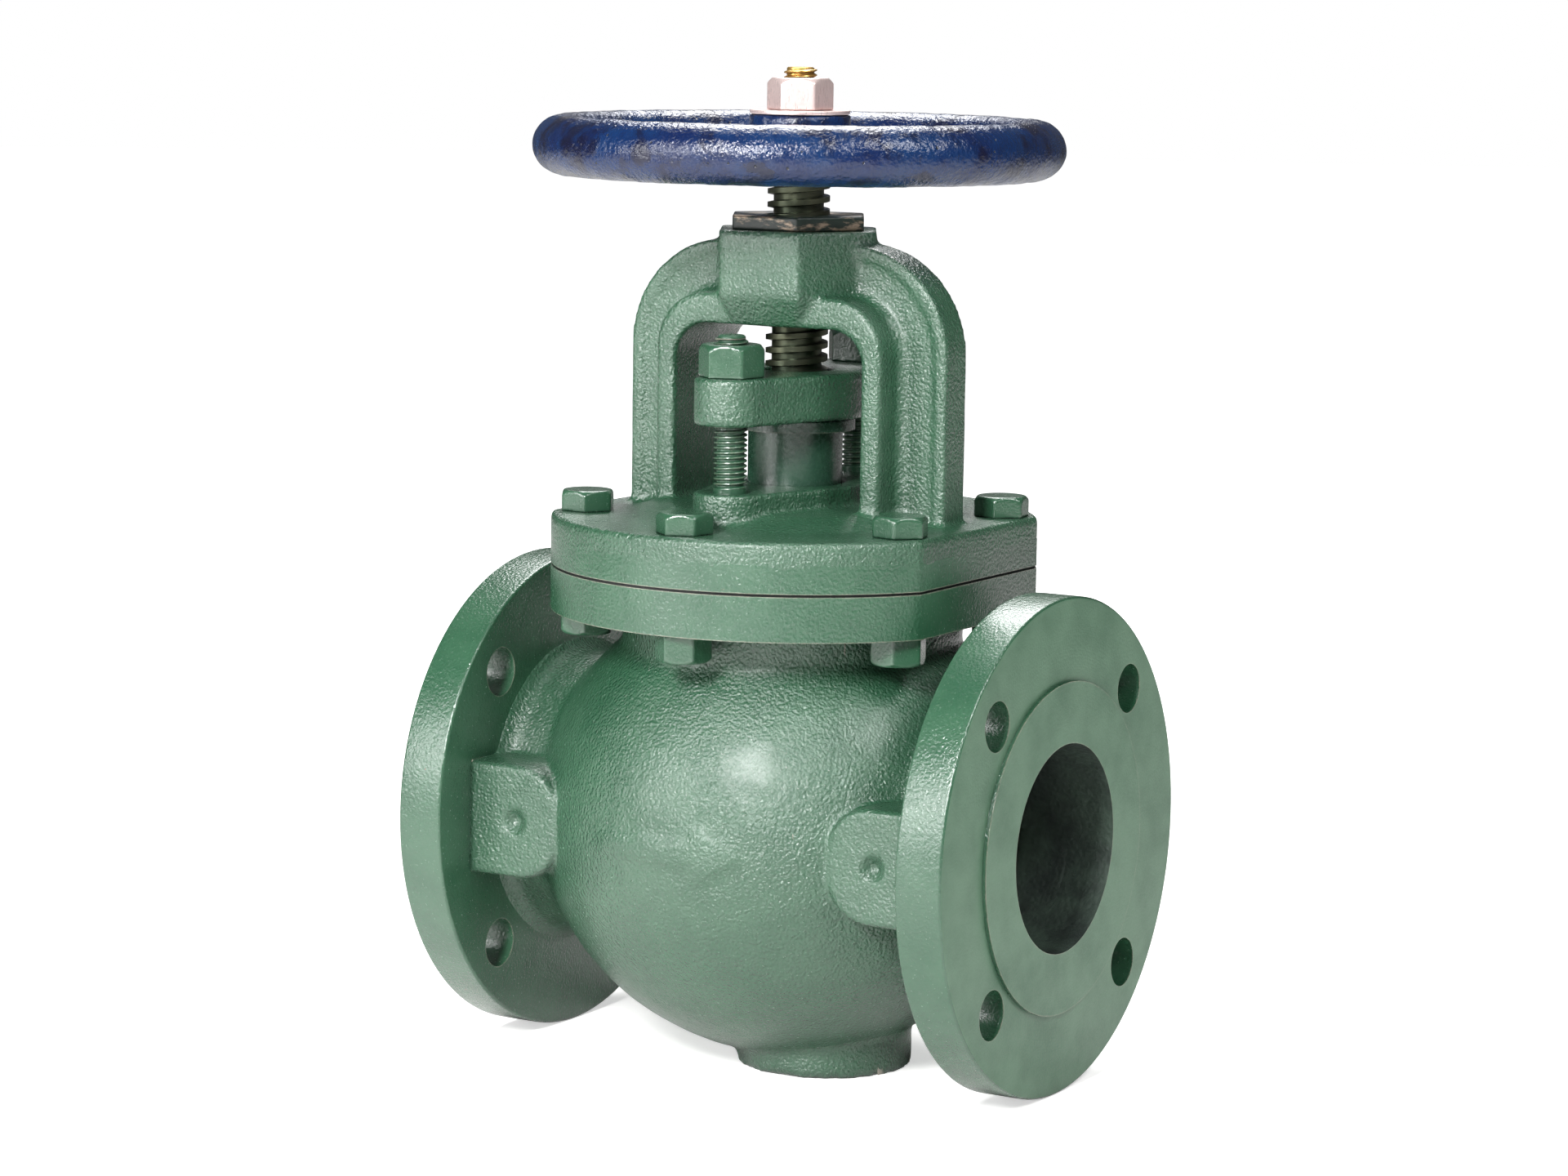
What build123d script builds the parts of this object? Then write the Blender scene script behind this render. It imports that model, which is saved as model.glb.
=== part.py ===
"""Flanged globe valve, 3 in (DN 80), bolted bonnet, outside screw and yoke.

The pipe run lies along X and the stem along Z.  Z = 0 is the plane on which the
two end flanges and the foot boss stand.  All sizes are in millimetres.
"""
import math
import os

from build123d import *

os.makedirs("parts", exist_ok=True)

# ---------------------------------------------------------------- driving sizes
# Pipe run and end flanges
face_to_face = 241.3           # over the two raised faces
flange_dia = 190.5
flange_thickness = 19.05       # rim, without the raised face
raised_face_height = 1.6
raised_face_inset = 12.7       # from the bolt circle in to the raised face's edge
flange_bolt_edge = 19.05       # from the bolt circle out to the rim
flange_bolt_hole = 19.05
flange_bolt_count = 4
flange_bolt_start = 45.0       # degrees, so the holes straddle the upright
port_bore = 80.0
port_wall = 16.0
flange_edge_round = 1.2
neck_fillet = 7.0

# Globe, foot and side lugs
globe_length = 160.0           # between the necks of the two ports
globe_wall = 10.0
foot_drop = 2.25               # foot face below the globe's lowest point
foot_dia = 68.0
foot_offset = 17.0             # towards the outlet
lug_face = 75.0                # from the stem axis to the lug's flat
lug_height = 44.0
lug_length = 40.0              # inward from the end flange
lug_corner = 17.0
lug_root = 40.0                # how near the stem plane the lug starts
lug_edge_round = 2.0
centre_mark_dia = 11.0
centre_mark_depth = 4.0
centre_mark_inset = 20.6       # from the end flange's back face

# Flow arrow cast on both sides
arrow_length = 62.0
arrow_height = 20.0
arrow_head = 18.0
arrow_shaft = 7.0
arrow_relief = 1.2
arrow_drop = 6.0               # arrow centre below the run axis

# Seat and bridge wall, heights measured from the run axis
bridge_top = 5.0
bridge_thickness = 14.0
bridge_slant_width = 12.0
bridge_end_rise = 8.0          # the bridge's ends go this far past the port bore
bridge_margin = 3.0            # flat of the bridge past the seat ring's lip
bridge_knee = 3.0              # how far the upper and lower corners are staggered
seat_bore = 70.0
seat_ring_wall = 5.0
seat_ring_lip = 4.0            # lip's height above the bridge, and its overhang

# Body neck and the joint between body and bonnet
bonnet_bore = 104.0
bonnet_neck_wall = 14.0
joint_height = 99.05           # middle of the gasket above the run axis
gasket_thickness = 1.0
gasket_inset = 0.8
body_flange_thickness = 17.0
neck_seam_round = 6.0
bonnet_flange_thickness = 19.05
bonnet_flange_radius = 94.0
bonnet_flat_gap = 18.0         # from the end flange's back face to the flat
bonnet_edge_round = 1.5
bonnet_bolt_edge = 14.0
bonnet_bolt_count = 6
bonnet_bolt_start = 30.0       # degrees
bonnet_bolt_dia = 12.7
bonnet_bolt_clearance = 0.8    # radial
bonnet_bolt_tip = 0.3          # bolt end below its nut, which it all but fills
bonnet_head_height = 8.0
bonnet_nut_height = 11.1
bonnet_hex = 19.05
bolt_turns = (12.0, 41.0, 3.0, 27.0, 52.0, 18.0)

# Bonnet casting
dome_height = 4.5
dome_radius = 50.0
dome_skirt = 16.0
spigot_depth = 6.0
spigot_wall = 8.0
cover_recess = 6.0
boss_wall = 9.0
pad_height = 12.5              # stuffing box pad above the bonnet flange

# Stem, packing and gland
stem_dia = 24.0
stem_lift = 22.0
packing_width = 6.35
packing_height = 7.0
packing_count = 5
gland_entry = 4.0              # sleeve inside the stuffing box
gland_rise = 25.5              # gland flange above the stuffing box pad
gland_flange_thickness = 18.0
gland_end_radius = 14.0
gland_middle_radius = 27.0
gland_edge_round = 1.5
gland_stud_dia = 12.7
gland_stud_reach = 48.0        # stud axis from the stem axis
gland_stud_depth = 18.0
gland_stud_tip = 3.4
gland_collar_dia = 46.0
gland_collar_height = 5.0
gland_nut_height = 12.5
gland_hex = 22.2
gland_nut_turns = {"front": 20.0, "rear": 7.0}

# Yoke
yoke_window_half = 41.2
yoke_window_top = 73.4         # above the bonnet flange's top
yoke_window_corner = 13.5
yoke_rib = 8.5
yoke_rib_top = 12.0
yoke_rib_half = 23.0           # half depth along Y
yoke_web_width = 20.5
yoke_web_half = 7.0
yoke_arch_radius = 42.0
yoke_arch_top = 31.5           # above the window
yoke_bead_width = 5.0
yoke_bead_relief = 1.4
yoke_fillet = 4.0
yoke_root = 3.0                # how far the yoke's legs run down into the cover
hub_hex = 60.0
hub_top = 36.4                 # above the window
hub_taper_height = 12.0
hub_taper = 28.0               # degrees
bushing_hex = 50.0
bushing_flange = 5.5
bushing_shank_dia = 36.0
set_screw_dia = 6.0
set_screw_drop = 12.0          # below the hub's top

# Stem ends, disc and backseat
disc_dia = 84.0
disc_thickness = 12.0
disc_edge = 3.0                # bevel on the disc's rim
disc_hub_dia = 46.0
disc_floor = 18.7              # metal under the stem's button
button_dia = 27.0
button_height = 7.7
disc_nut_dia = 36.0
disc_nut_length = 11.0
disc_nut_hex = 40.0
disc_nut_head = 6.0
stem_neck_dia = 16.0
backseat_overhang = 4.0
backseat_height = 4.2
backseat_collar = 4.0
backseat_bushing_length = 10.0
backseat_ledge = 1.4           # packing box floor around the bushing

# Handwheel
wheel_dia = 204.0
wheel_rim = 22.5
wheel_hub_dia = 39.0
wheel_hub_height = 24.4
wheel_hub_gap = 13.7           # hub above the bushing at the closed end
wheel_rim_rise = 11.9          # rim centre above the hub's bottom
wheel_spokes = 5
spoke_width = 17.0
spoke_height = 11.0
spoke_taper = 0.8
spoke_root = 5.0               # each spoke starts this far inside the hub
spoke_bury = 2.0               # and ends this far short of the rim's centre line
stem_square = 16.0
square_corner_inset = 1.5      # corners turned down from the stem's own diameter
square_drop = 1.0              # the square ends this far below the hub's top
washer_dia = 38.5
washer_thickness = 1.5
wheel_stud_dia = 12.7
wheel_nut_height = 12.3
wheel_hex = 22.2
wheel_stud_tip = 4.0
wheel_nut_turn = 26.0

# Small edges, and how far a cut runs past the face that it opens
turned_chamfer = 1.0
cut_margin = 1.0

# Named clearances, all radial or per face
fixed_gap = 0.05               # between pieces screwed or pressed together
running_gap = 0.05             # nut on stud, packing on stem, sleeve in box
seat_gap = 0.05                # disc on seat ring
stem_gap = 0.35                # stem in gland sleeve and bushings
swivel_gap = 0.3               # stem button in the disc
gland_gap = 1.6                # stem through the gland flange
spigot_gap = 0.3
square_gap = 0.1
stud_hole_gap = 0.9

# ---------------------------------------------------------------- worked out
run_height = flange_dia / 2
run_origin = (0, 0, run_height)
run_axis = Axis(run_origin, (1, 0, 0))
run_plane = Plane(origin=run_origin, x_dir=(1, 0, 0), z_dir=(0, -1, 0))

half_run = face_to_face / 2
rim_front = half_run - raised_face_height
rim_back = rim_front - flange_thickness
rim_radius = flange_dia / 2
bolt_circle = rim_radius - flange_bolt_edge
raised_radius = bolt_circle - raised_face_inset
port_radius = port_bore / 2
neck_radius = port_radius + port_wall
globe_radius = run_height - foot_drop
globe_end = globe_length / 2
cavity_radius = globe_radius - globe_wall

bonnet_bore_radius = bonnet_bore / 2
body_neck_radius = bonnet_bore_radius + bonnet_neck_wall
body_flange_top = run_height + joint_height - gasket_thickness / 2
body_flange_bottom = body_flange_top - body_flange_thickness
bonnet_bottom = body_flange_top + gasket_thickness
bonnet_top = bonnet_bottom + bonnet_flange_thickness
bonnet_flat = rim_back - bonnet_flat_gap
bonnet_bolt_circle = bonnet_flange_radius - bonnet_bolt_edge
bonnet_bolt_hole = bonnet_bolt_dia / 2 + bonnet_bolt_clearance
bonnet_bolt_pattern = PolarLocations(bonnet_bolt_circle, bonnet_bolt_count,
                                     start_angle=bonnet_bolt_start)

bridge_bottom = bridge_top - bridge_thickness
seat_ring_radius = seat_bore / 2 + seat_ring_wall
seat_lip_radius = seat_ring_radius + seat_ring_lip
seat_face = run_height + bridge_top + seat_ring_lip

stem_radius = stem_dia / 2
box_radius = stem_radius + packing_width
pad_top = bonnet_top + pad_height
packing_top = pad_top - gland_entry
packing_bottom = packing_top - packing_count * packing_height
boss_bottom = packing_bottom - backseat_bushing_length
boss_radius = box_radius + boss_wall
gland_bottom = pad_top + gland_rise
gland_top = gland_bottom + gland_flange_thickness
stud_top = gland_top + gland_nut_height + gland_stud_tip
stud_bottom = pad_top - gland_stud_depth

window_top = bonnet_top + yoke_window_top
rib_outer = yoke_window_half + yoke_rib
web_outer = rib_outer + yoke_web_width
hub_top_z = window_top + hub_top
bushing_top = hub_top_z + bushing_flange
wheel_hub_bottom = bushing_top + wheel_hub_gap
wheel_hub_top = wheel_hub_bottom + wheel_hub_height
washer_top = wheel_hub_top + washer_thickness
wheel_nut_top = washer_top + wheel_nut_height
stem_top = wheel_nut_top + wheel_stud_tip

disc_bottom = seat_face + seat_gap
button_bottom = disc_bottom + disc_floor
button_top = button_bottom + button_height
disc_nut_bottom = button_top + swivel_gap
disc_hub_top = disc_nut_bottom + disc_nut_length
disc_nut_top = disc_hub_top + disc_nut_head
backseat_radius = stem_radius + backseat_overhang
backseat_top = boss_bottom + backseat_height - swivel_gap - stem_lift
backseat_bottom = backseat_top - backseat_height

backseat_bushing_radius = box_radius - backseat_ledge
set_screw_length = (hub_hex - bushing_shank_dia) / 2
set_screw_plane = Plane(origin=(0, hub_hex / 2, hub_top_z - set_screw_drop),
                        x_dir=(1, 0, 0), z_dir=(0, 1, 0))


def on_stem_cylinder(edge, radius):
    """True for an edge that lies on a cylinder of this radius about the stem."""
    points = [edge @ t for t in (0, 0.3, 0.6, 1)]
    return all(abs(math.hypot(p.X, p.Y) - radius) < 0.01 for p in points)


def nearest(shape, *points):
    """The vertices of a sketch that lie nearest to the given points."""
    return [shape.vertices().sort_by_distance(point)[0] for point in points]


def write(part, name):
    """Label a finished piece and write it as parts/<name>.step."""
    part.label = name
    export_step(part, f"parts/{name}.step")


# ---------------------------------------------------------------- body
# Waterway: the ports, the hollow globe and the bore under the bonnet, with the
# S-shaped bridge wall left standing between the inlet and the outlet side.
bridge_end_x = globe_end + bridge_end_rise
bridge_end_z = port_radius + bridge_end_rise
bridge_half = seat_lip_radius + bridge_margin

with BuildPart() as waterway:
    with BuildSketch(run_plane):
        with BuildLine():
            Polyline((globe_end, port_radius), (half_run, port_radius), (half_run, 0),
                     (-half_run, 0), (-half_run, port_radius), (-globe_end, port_radius))
            ThreePointArc((-globe_end, port_radius), (0, cavity_radius),
                          (globe_end, port_radius))
        make_face()
    revolve(axis=run_axis)
    with BuildSketch(Plane.XY.offset(run_height)):
        Circle(bonnet_bore_radius)
    extrude(amount=body_flange_top - run_height)
    with BuildSketch(run_plane):
        with BuildLine():
            Polyline((-bridge_end_x + bridge_slant_width, bridge_end_z),
                     (-bridge_half, bridge_top),
                     (bridge_half + bridge_knee, bridge_top),
                     (bridge_end_x, -bridge_end_z),
                     (bridge_end_x - bridge_slant_width, -bridge_end_z),
                     (bridge_half, bridge_bottom),
                     (-bridge_half - bridge_knee, bridge_bottom),
                     (-bridge_end_x, bridge_end_z), close=True)
        make_face()
    extrude(amount=globe_radius, both=True, mode=Mode.SUBTRACT)
    with BuildSketch(Plane.XY.offset(run_height + bridge_bottom - cut_margin)):
        Circle(seat_ring_radius)
    extrude(amount=bridge_thickness + 2 * cut_margin)

# Lugs: D-shaped flats with a conical centre mark, beside each end flange.
lug_plane = Plane(origin=(0, -lug_face, run_height), x_dir=(1, 0, 0), z_dir=(0, -1, 0))
lug_middle = rim_back - lug_length / 2
mark_x = rim_back - centre_mark_inset

with BuildPart() as lugs:
    for end in (-1, 1):
        with BuildSketch(lug_plane) as lug_outline:
            with Locations((end * lug_middle, 0)):
                Rectangle(lug_length, lug_height)
            inner_x = end * (rim_back - lug_length)
            fillet(nearest(lug_outline, (inner_x, lug_height / 2), (inner_x, -lug_height / 2)),
                   radius=lug_corner)
        extrude(amount=lug_root - lug_face)
    fillet(lugs.faces().filter_by(Axis.Y).sort_by(Axis.Y)[0:2].edges(), radius=lug_edge_round)
    for end in (-1, 1):
        with BuildSketch(lug_plane):
            with Locations((end * mark_x, 0)):
                Circle(centre_mark_dia / 2)
        extrude(amount=-centre_mark_depth, taper=45, mode=Mode.SUBTRACT)
    mirror(about=Plane.XZ)

# Flow arrow: a raised outline that follows the globe, pointing to the outlet.
with BuildPart() as flow_arrows:
    with BuildSketch(run_plane):
        with Locations((0, -arrow_drop)):
            with BuildLine():
                Polyline((-arrow_length / 2, arrow_shaft / 2),
                         (arrow_length / 2 - arrow_head, arrow_shaft / 2),
                         (arrow_length / 2 - arrow_head, arrow_height / 2),
                         (arrow_length / 2, 0),
                         (arrow_length / 2 - arrow_head, -arrow_height / 2),
                         (arrow_length / 2 - arrow_head, -arrow_shaft / 2),
                         (-arrow_length / 2, -arrow_shaft / 2), close=True)
            make_face()
    extrude(amount=globe_radius + arrow_relief + cut_margin, both=True)
    with BuildSketch(run_plane):
        with BuildLine():
            ThreePointArc((-globe_end, neck_radius + arrow_relief),
                          (0, globe_radius + arrow_relief),
                          (globe_end, neck_radius + arrow_relief))
            Polyline((globe_end, neck_radius + arrow_relief), (globe_end, 0),
                     (-globe_end, 0), (-globe_end, neck_radius + arrow_relief))
        make_face()
    revolve(axis=run_axis, mode=Mode.INTERSECT)

with BuildPart() as body:
    with BuildSketch(run_plane) as run_profile:
        with BuildLine():
            Polyline((-globe_end, neck_radius), (-rim_back, neck_radius),
                     (-rim_back, rim_radius), (-rim_front, rim_radius),
                     (-rim_front, raised_radius), (-half_run, raised_radius),
                     (-half_run, 0), (half_run, 0), (half_run, raised_radius),
                     (rim_front, raised_radius), (rim_front, rim_radius),
                     (rim_back, rim_radius), (rim_back, neck_radius),
                     (globe_end, neck_radius))
            ThreePointArc((-globe_end, neck_radius), (0, globe_radius),
                          (globe_end, neck_radius))
        make_face()
        fillet(nearest(run_profile, (-rim_back, neck_radius), (rim_back, neck_radius),
                       (-globe_end, neck_radius), (globe_end, neck_radius)),
               radius=neck_fillet)
        fillet(nearest(run_profile, (-rim_front, rim_radius), (rim_front, rim_radius),
                       (-rim_back, rim_radius), (rim_back, rim_radius)),
               radius=flange_edge_round)
    revolve(axis=run_axis)
    # Neck that carries the bonnet flange, blended into the globe
    with BuildSketch(Plane.XY.offset(run_height)):
        Circle(body_neck_radius)
    extrude(amount=body_flange_bottom - run_height)
    neck_seam = body.edges().filter_by(lambda e: on_stem_cylinder(e, body_neck_radius))
    fillet(neck_seam.filter_by(lambda e: e.center().Z < body_flange_bottom - cut_margin),
           radius=neck_seam_round)
    # Foot boss
    with BuildSketch() as foot_outline:
        with Locations((foot_offset, 0)):
            Circle(foot_dia / 2)
    extrude(amount=run_height / 2)
    add(lugs.part)
    add(flow_arrows.part)
    # Bonnet flange with its two flats
    with BuildSketch(Plane.XY.offset(body_flange_bottom)):
        Circle(bonnet_flange_radius)
        Rectangle(2 * bonnet_flat, 2 * bonnet_flange_radius, mode=Mode.INTERSECT)
    extrude(amount=body_flange_thickness)
    add(waterway.part, mode=Mode.SUBTRACT)
    # Bolt holes: end flanges, then the bonnet joint
    for end in (-1, 1):
        face_plane = Plane(origin=(end * half_run, 0, run_height), x_dir=(0, 1, 0),
                           z_dir=(end, 0, 0))
        with BuildSketch(face_plane):
            with PolarLocations(bolt_circle, flange_bolt_count, start_angle=flange_bolt_start):
                Circle(flange_bolt_hole / 2)
        extrude(amount=-(flange_thickness + raised_face_height), mode=Mode.SUBTRACT)
    with BuildSketch(Plane.XY.offset(body_flange_bottom)):
        with bonnet_bolt_pattern:
            Circle(bonnet_bolt_hole)
    extrude(amount=body_flange_thickness, mode=Mode.SUBTRACT)
write(body.part, "body")

# ---------------------------------------------------------------- seat ring
with BuildPart() as seat_ring:
    with BuildSketch(Plane.XY.offset(run_height + bridge_bottom)):
        Circle(seat_ring_radius - fixed_gap)
    extrude(amount=bridge_thickness)
    with BuildSketch(Plane.XY.offset(run_height + bridge_top)):
        Circle(seat_lip_radius)
    extrude(amount=seat_ring_lip)
    with BuildSketch(Plane.XY.offset(run_height + bridge_bottom)):
        Circle(seat_bore / 2)
    extrude(amount=bridge_thickness + seat_ring_lip, mode=Mode.SUBTRACT)
    chamfer(seat_ring.edges().filter_by(GeomType.CIRCLE).group_by(Axis.Z)[-1],
            length=turned_chamfer)
write(seat_ring.part, "seat_ring")

# ---------------------------------------------------------------- bonnet gasket
with BuildPart() as bonnet_gasket:
    with BuildSketch(Plane.XY.offset(body_flange_top)):
        Circle(bonnet_flange_radius - gasket_inset)
        Rectangle(2 * (bonnet_flat - gasket_inset), 2 * bonnet_flange_radius,
                  mode=Mode.INTERSECT)
        Circle(bonnet_bore_radius + spigot_gap, mode=Mode.SUBTRACT)
        with bonnet_bolt_pattern:
            Circle(bonnet_bolt_hole, mode=Mode.SUBTRACT)
    extrude(amount=gasket_thickness)
write(bonnet_gasket.part, "bonnet_gasket")

# ---------------------------------------------------------------- bonnet with yoke
spigot_radius = bonnet_bore_radius - spigot_gap
arch_height = window_top + yoke_arch_top - bonnet_top
rib_height = window_top + yoke_rib_top - bonnet_top
window_height = window_top - bonnet_top
front_plane = Plane(origin=(0, 0, bonnet_top), x_dir=(1, 0, 0), z_dir=(0, -1, 0))


def arch_outline(half_width, height, corner):
    """A round-cornered arch that stands on the bonnet, seen from the front."""
    with BuildSketch() as arch:
        with Locations((0, (height - yoke_root) / 2)):
            Rectangle(2 * half_width, height + yoke_root)
        fillet(nearest(arch, (half_width, height), (-half_width, height)), radius=corner)
    return arch.sketch


web_arch = arch_outline(web_outer, arch_height, yoke_arch_radius)
inside_bead = arch_outline(web_outer - yoke_bead_width, arch_height - yoke_bead_width,
                           yoke_arch_radius - yoke_bead_width)
rib_arch = arch_outline(rib_outer, rib_height, yoke_window_corner + yoke_rib)

# The window is cut down to the bonnet's top, and not into the cover
with BuildSketch() as window_arch:
    with Locations((0, window_height / 2)):
        Rectangle(2 * yoke_window_half, window_height)
    fillet(nearest(window_arch, (yoke_window_half, window_height),
                   (-yoke_window_half, window_height)), radius=yoke_window_corner)

with BuildPart() as yoke:
    # A web, a bead on its outer edge, and a deep rib round the window
    with BuildSketch(front_plane):
        add(web_arch)
    extrude(amount=yoke_web_half, both=True)
    with BuildSketch(front_plane):
        add(rib_arch)
    extrude(amount=yoke_rib_half, both=True)
    seams = yoke.edges().filter_by(lambda e: abs(abs(e.center().Y) - yoke_web_half) < 0.01)
    fillet(seams.filter_by(lambda e: e.is_interior), radius=yoke_fillet)
    # Hub, six-sided, tapering into the top of the arch
    with BuildSketch(Plane.XY.offset(window_top + hub_taper_height)):
        RegularPolygon(hub_hex / 2, 6, major_radius=False)
    extrude(amount=hub_top_z - window_top - hub_taper_height)
    with BuildSketch(Plane.XY.offset(window_top + hub_taper_height)):
        RegularPolygon(hub_hex / 2, 6, major_radius=False)
    extrude(amount=-hub_taper_height, taper=hub_taper)
    with BuildSketch(front_plane):
        add(web_arch)
        add(inside_bead, mode=Mode.SUBTRACT)
    extrude(amount=yoke_web_half + yoke_bead_relief, both=True)
    with BuildSketch(front_plane):
        add(window_arch.sketch)
    extrude(amount=yoke_rib_half + hub_hex, both=True, mode=Mode.SUBTRACT)

with BuildPart() as bonnet:
    # Cover: flange, low dome, spigot and the boss round the stuffing box
    with BuildSketch(Plane.XY.offset(bonnet_bottom)):
        Circle(bonnet_flange_radius)
        Rectangle(2 * bonnet_flat, 2 * bonnet_flange_radius, mode=Mode.INTERSECT)
    extrude(amount=bonnet_flange_thickness)
    fillet(bonnet.edges().group_by(Axis.Z)[-1], radius=bonnet_edge_round)
    with BuildSketch(Plane.XZ):
        with BuildLine():
            Polyline((0, bonnet_bottom), (dome_radius + dome_skirt, bonnet_bottom),
                     (dome_radius + dome_skirt, bonnet_top),
                     (dome_radius, bonnet_top + dome_height),
                     (0, bonnet_top + dome_height), close=True)
        make_face()
    revolve(axis=Axis.Z)
    # Pad that the gland studs screw into
    with BuildSketch(Plane.XY.offset(bonnet_top)):
        Circle(gland_middle_radius)
        with Locations((0, gland_stud_reach), (0, -gland_stud_reach)):
            Circle(gland_end_radius)
        make_hull()
    extrude(amount=pad_height)
    add(yoke.part)
    # Underside: spigot, casting recess and the boss round the stuffing box
    with BuildSketch(Plane.XY.offset(bonnet_bottom)):
        Circle(spigot_radius - spigot_wall)
    extrude(amount=cover_recess, mode=Mode.SUBTRACT)
    with BuildSketch(Plane.XY.offset(bonnet_bottom)):
        Circle(spigot_radius)
        Circle(spigot_radius - spigot_wall, mode=Mode.SUBTRACT)
    extrude(amount=-spigot_depth)
    with BuildSketch(Plane.XY.offset(boss_bottom)):
        Circle(boss_radius)
    extrude(amount=bonnet_top - boss_bottom)
    # Bores on the stem axis: backseat bushing, stuffing box, yoke bushing
    with BuildSketch(Plane.XY.offset(boss_bottom)):
        Circle(backseat_bushing_radius)
    extrude(amount=backseat_bushing_length, mode=Mode.SUBTRACT)
    with BuildSketch(Plane.XY.offset(packing_bottom)):
        Circle(box_radius)
    extrude(amount=pad_top - packing_bottom, mode=Mode.SUBTRACT)
    with BuildSketch(Plane.XY.offset(window_top - cut_margin)):
        Circle(bushing_shank_dia / 2)
    extrude(amount=hub_top_z - window_top + cut_margin, mode=Mode.SUBTRACT)
    # Stud holes, bolt holes and the set screw's hole
    with BuildSketch(Plane.XY.offset(stud_bottom)):
        with Locations((0, gland_stud_reach), (0, -gland_stud_reach)):
            Circle(gland_stud_dia / 2 + fixed_gap)
    extrude(amount=gland_stud_depth, mode=Mode.SUBTRACT)
    with BuildSketch(Plane.XY.offset(bonnet_bottom)):
        with bonnet_bolt_pattern:
            Circle(bonnet_bolt_hole)
    extrude(amount=bonnet_flange_thickness, mode=Mode.SUBTRACT)
    with BuildSketch(set_screw_plane):
        Circle(set_screw_dia / 2)
    extrude(amount=-set_screw_length, mode=Mode.SUBTRACT)
write(bonnet.part, "bonnet")

# ---------------------------------------------------------------- bonnet fasteners
# Six hexagon bolts with washer-faced heads, and their nuts, each pair turned as
# it happened to be left.
bolt_places = list(zip(bonnet_bolt_pattern.local_locations, bolt_turns))
bolt_end = body_flange_bottom - bonnet_nut_height - bonnet_bolt_tip
corner_chamfer = 0.14          # share of a hexagon's width taken off its corners
crown_share = 0.97             # the crown's flat, as a share of the width


def hexagon_blank(width, height, base, turn=0.0):
    """A hexagon prism with the corners of its top turned off."""
    with BuildPart() as blank:
        with BuildSketch(Plane.XY.offset(base)):
            RegularPolygon(width / 2, 6, major_radius=False, rotation=turn)
        extrude(amount=height)
        with BuildSketch(Plane.XZ):
            with BuildLine():
                corner = width / 2 / math.cos(math.radians(30)) + cut_margin
                drop = width * corner_chamfer
                Polyline((0, base), (corner, base), (corner, base + height - drop),
                         (width / 2 * crown_share, base + height), (0, base + height), close=True)
            make_face()
        revolve(axis=Axis.Z, mode=Mode.INTERSECT)
    return blank.part


bolt_heads = [hexagon_blank(bonnet_hex, bonnet_head_height, bonnet_top, turn)
              for turn in bolt_turns]
nut_blanks = [mirror(hexagon_blank(bonnet_hex, bonnet_nut_height, -body_flange_bottom, turn),
                     about=Plane.XY, mode=Mode.PRIVATE) for turn in bolt_turns]

with BuildPart() as bonnet_bolts:
    for (place, turn), head in zip(bolt_places, bolt_heads):
        add(head.moved(place))
    with BuildSketch(Plane.XY.offset(bolt_end)):
        with bonnet_bolt_pattern:
            Circle(bonnet_bolt_dia / 2)
    extrude(amount=bonnet_top - bolt_end)
write(bonnet_bolts.part, "bonnet_bolts")

with BuildPart() as bonnet_nuts:
    for (place, turn), nut in zip(bolt_places, nut_blanks):
        add(nut.moved(place))
    with BuildSketch(Plane.XY.offset(bolt_end)):
        with bonnet_bolt_pattern:
            Circle(bonnet_bolt_dia / 2 + fixed_gap)
    extrude(amount=body_flange_bottom - bolt_end, mode=Mode.SUBTRACT)
write(bonnet_nuts.part, "bonnet_nuts")

# ---------------------------------------------------------------- backseat bushing
# Its lower face is coned to take the stem's shoulder when the valve is wide open.
bushing_bore = stem_radius + stem_gap
cone_mouth = backseat_radius + swivel_gap

with BuildPart() as backseat_bushing:
    with BuildSketch(Plane.XZ):
        with BuildLine():
            Polyline((bushing_bore, packing_bottom), (bushing_bore, boss_bottom + backseat_height),
                     (cone_mouth, boss_bottom),
                     (backseat_bushing_radius - fixed_gap, boss_bottom),
                     (backseat_bushing_radius - fixed_gap, packing_bottom), close=True)
        make_face()
    revolve(axis=Axis.Z)
write(backseat_bushing.part, "backseat_bushing")

# ---------------------------------------------------------------- packing rings
for ring in range(packing_count):
    with BuildPart() as packing_ring:
        with BuildSketch(Plane.XY.offset(packing_bottom + ring * packing_height)):
            Circle(box_radius - running_gap)
            Circle(stem_radius + running_gap, mode=Mode.SUBTRACT)
        extrude(amount=packing_height)
    write(packing_ring.part, f"packing_ring_{ring + 1}")

# ---------------------------------------------------------------- gland
with BuildPart() as gland_sleeve:
    with BuildSketch(Plane.XY.offset(packing_top)):
        Circle(box_radius - running_gap)
    extrude(amount=gland_bottom - packing_top)
    with BuildSketch(Plane.XY.offset(gland_bottom - gland_collar_height)):
        Circle(gland_collar_dia / 2)
    extrude(amount=gland_collar_height)
    chamfer(gland_sleeve.edges().filter_by(GeomType.CIRCLE).group_by(Axis.Z)[-1],
            length=turned_chamfer)
    with BuildSketch(Plane.XY.offset(packing_top)):
        Circle(stem_radius + stem_gap)
    extrude(amount=gland_bottom - packing_top, mode=Mode.SUBTRACT)
write(gland_sleeve.part, "gland_sleeve")

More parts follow.
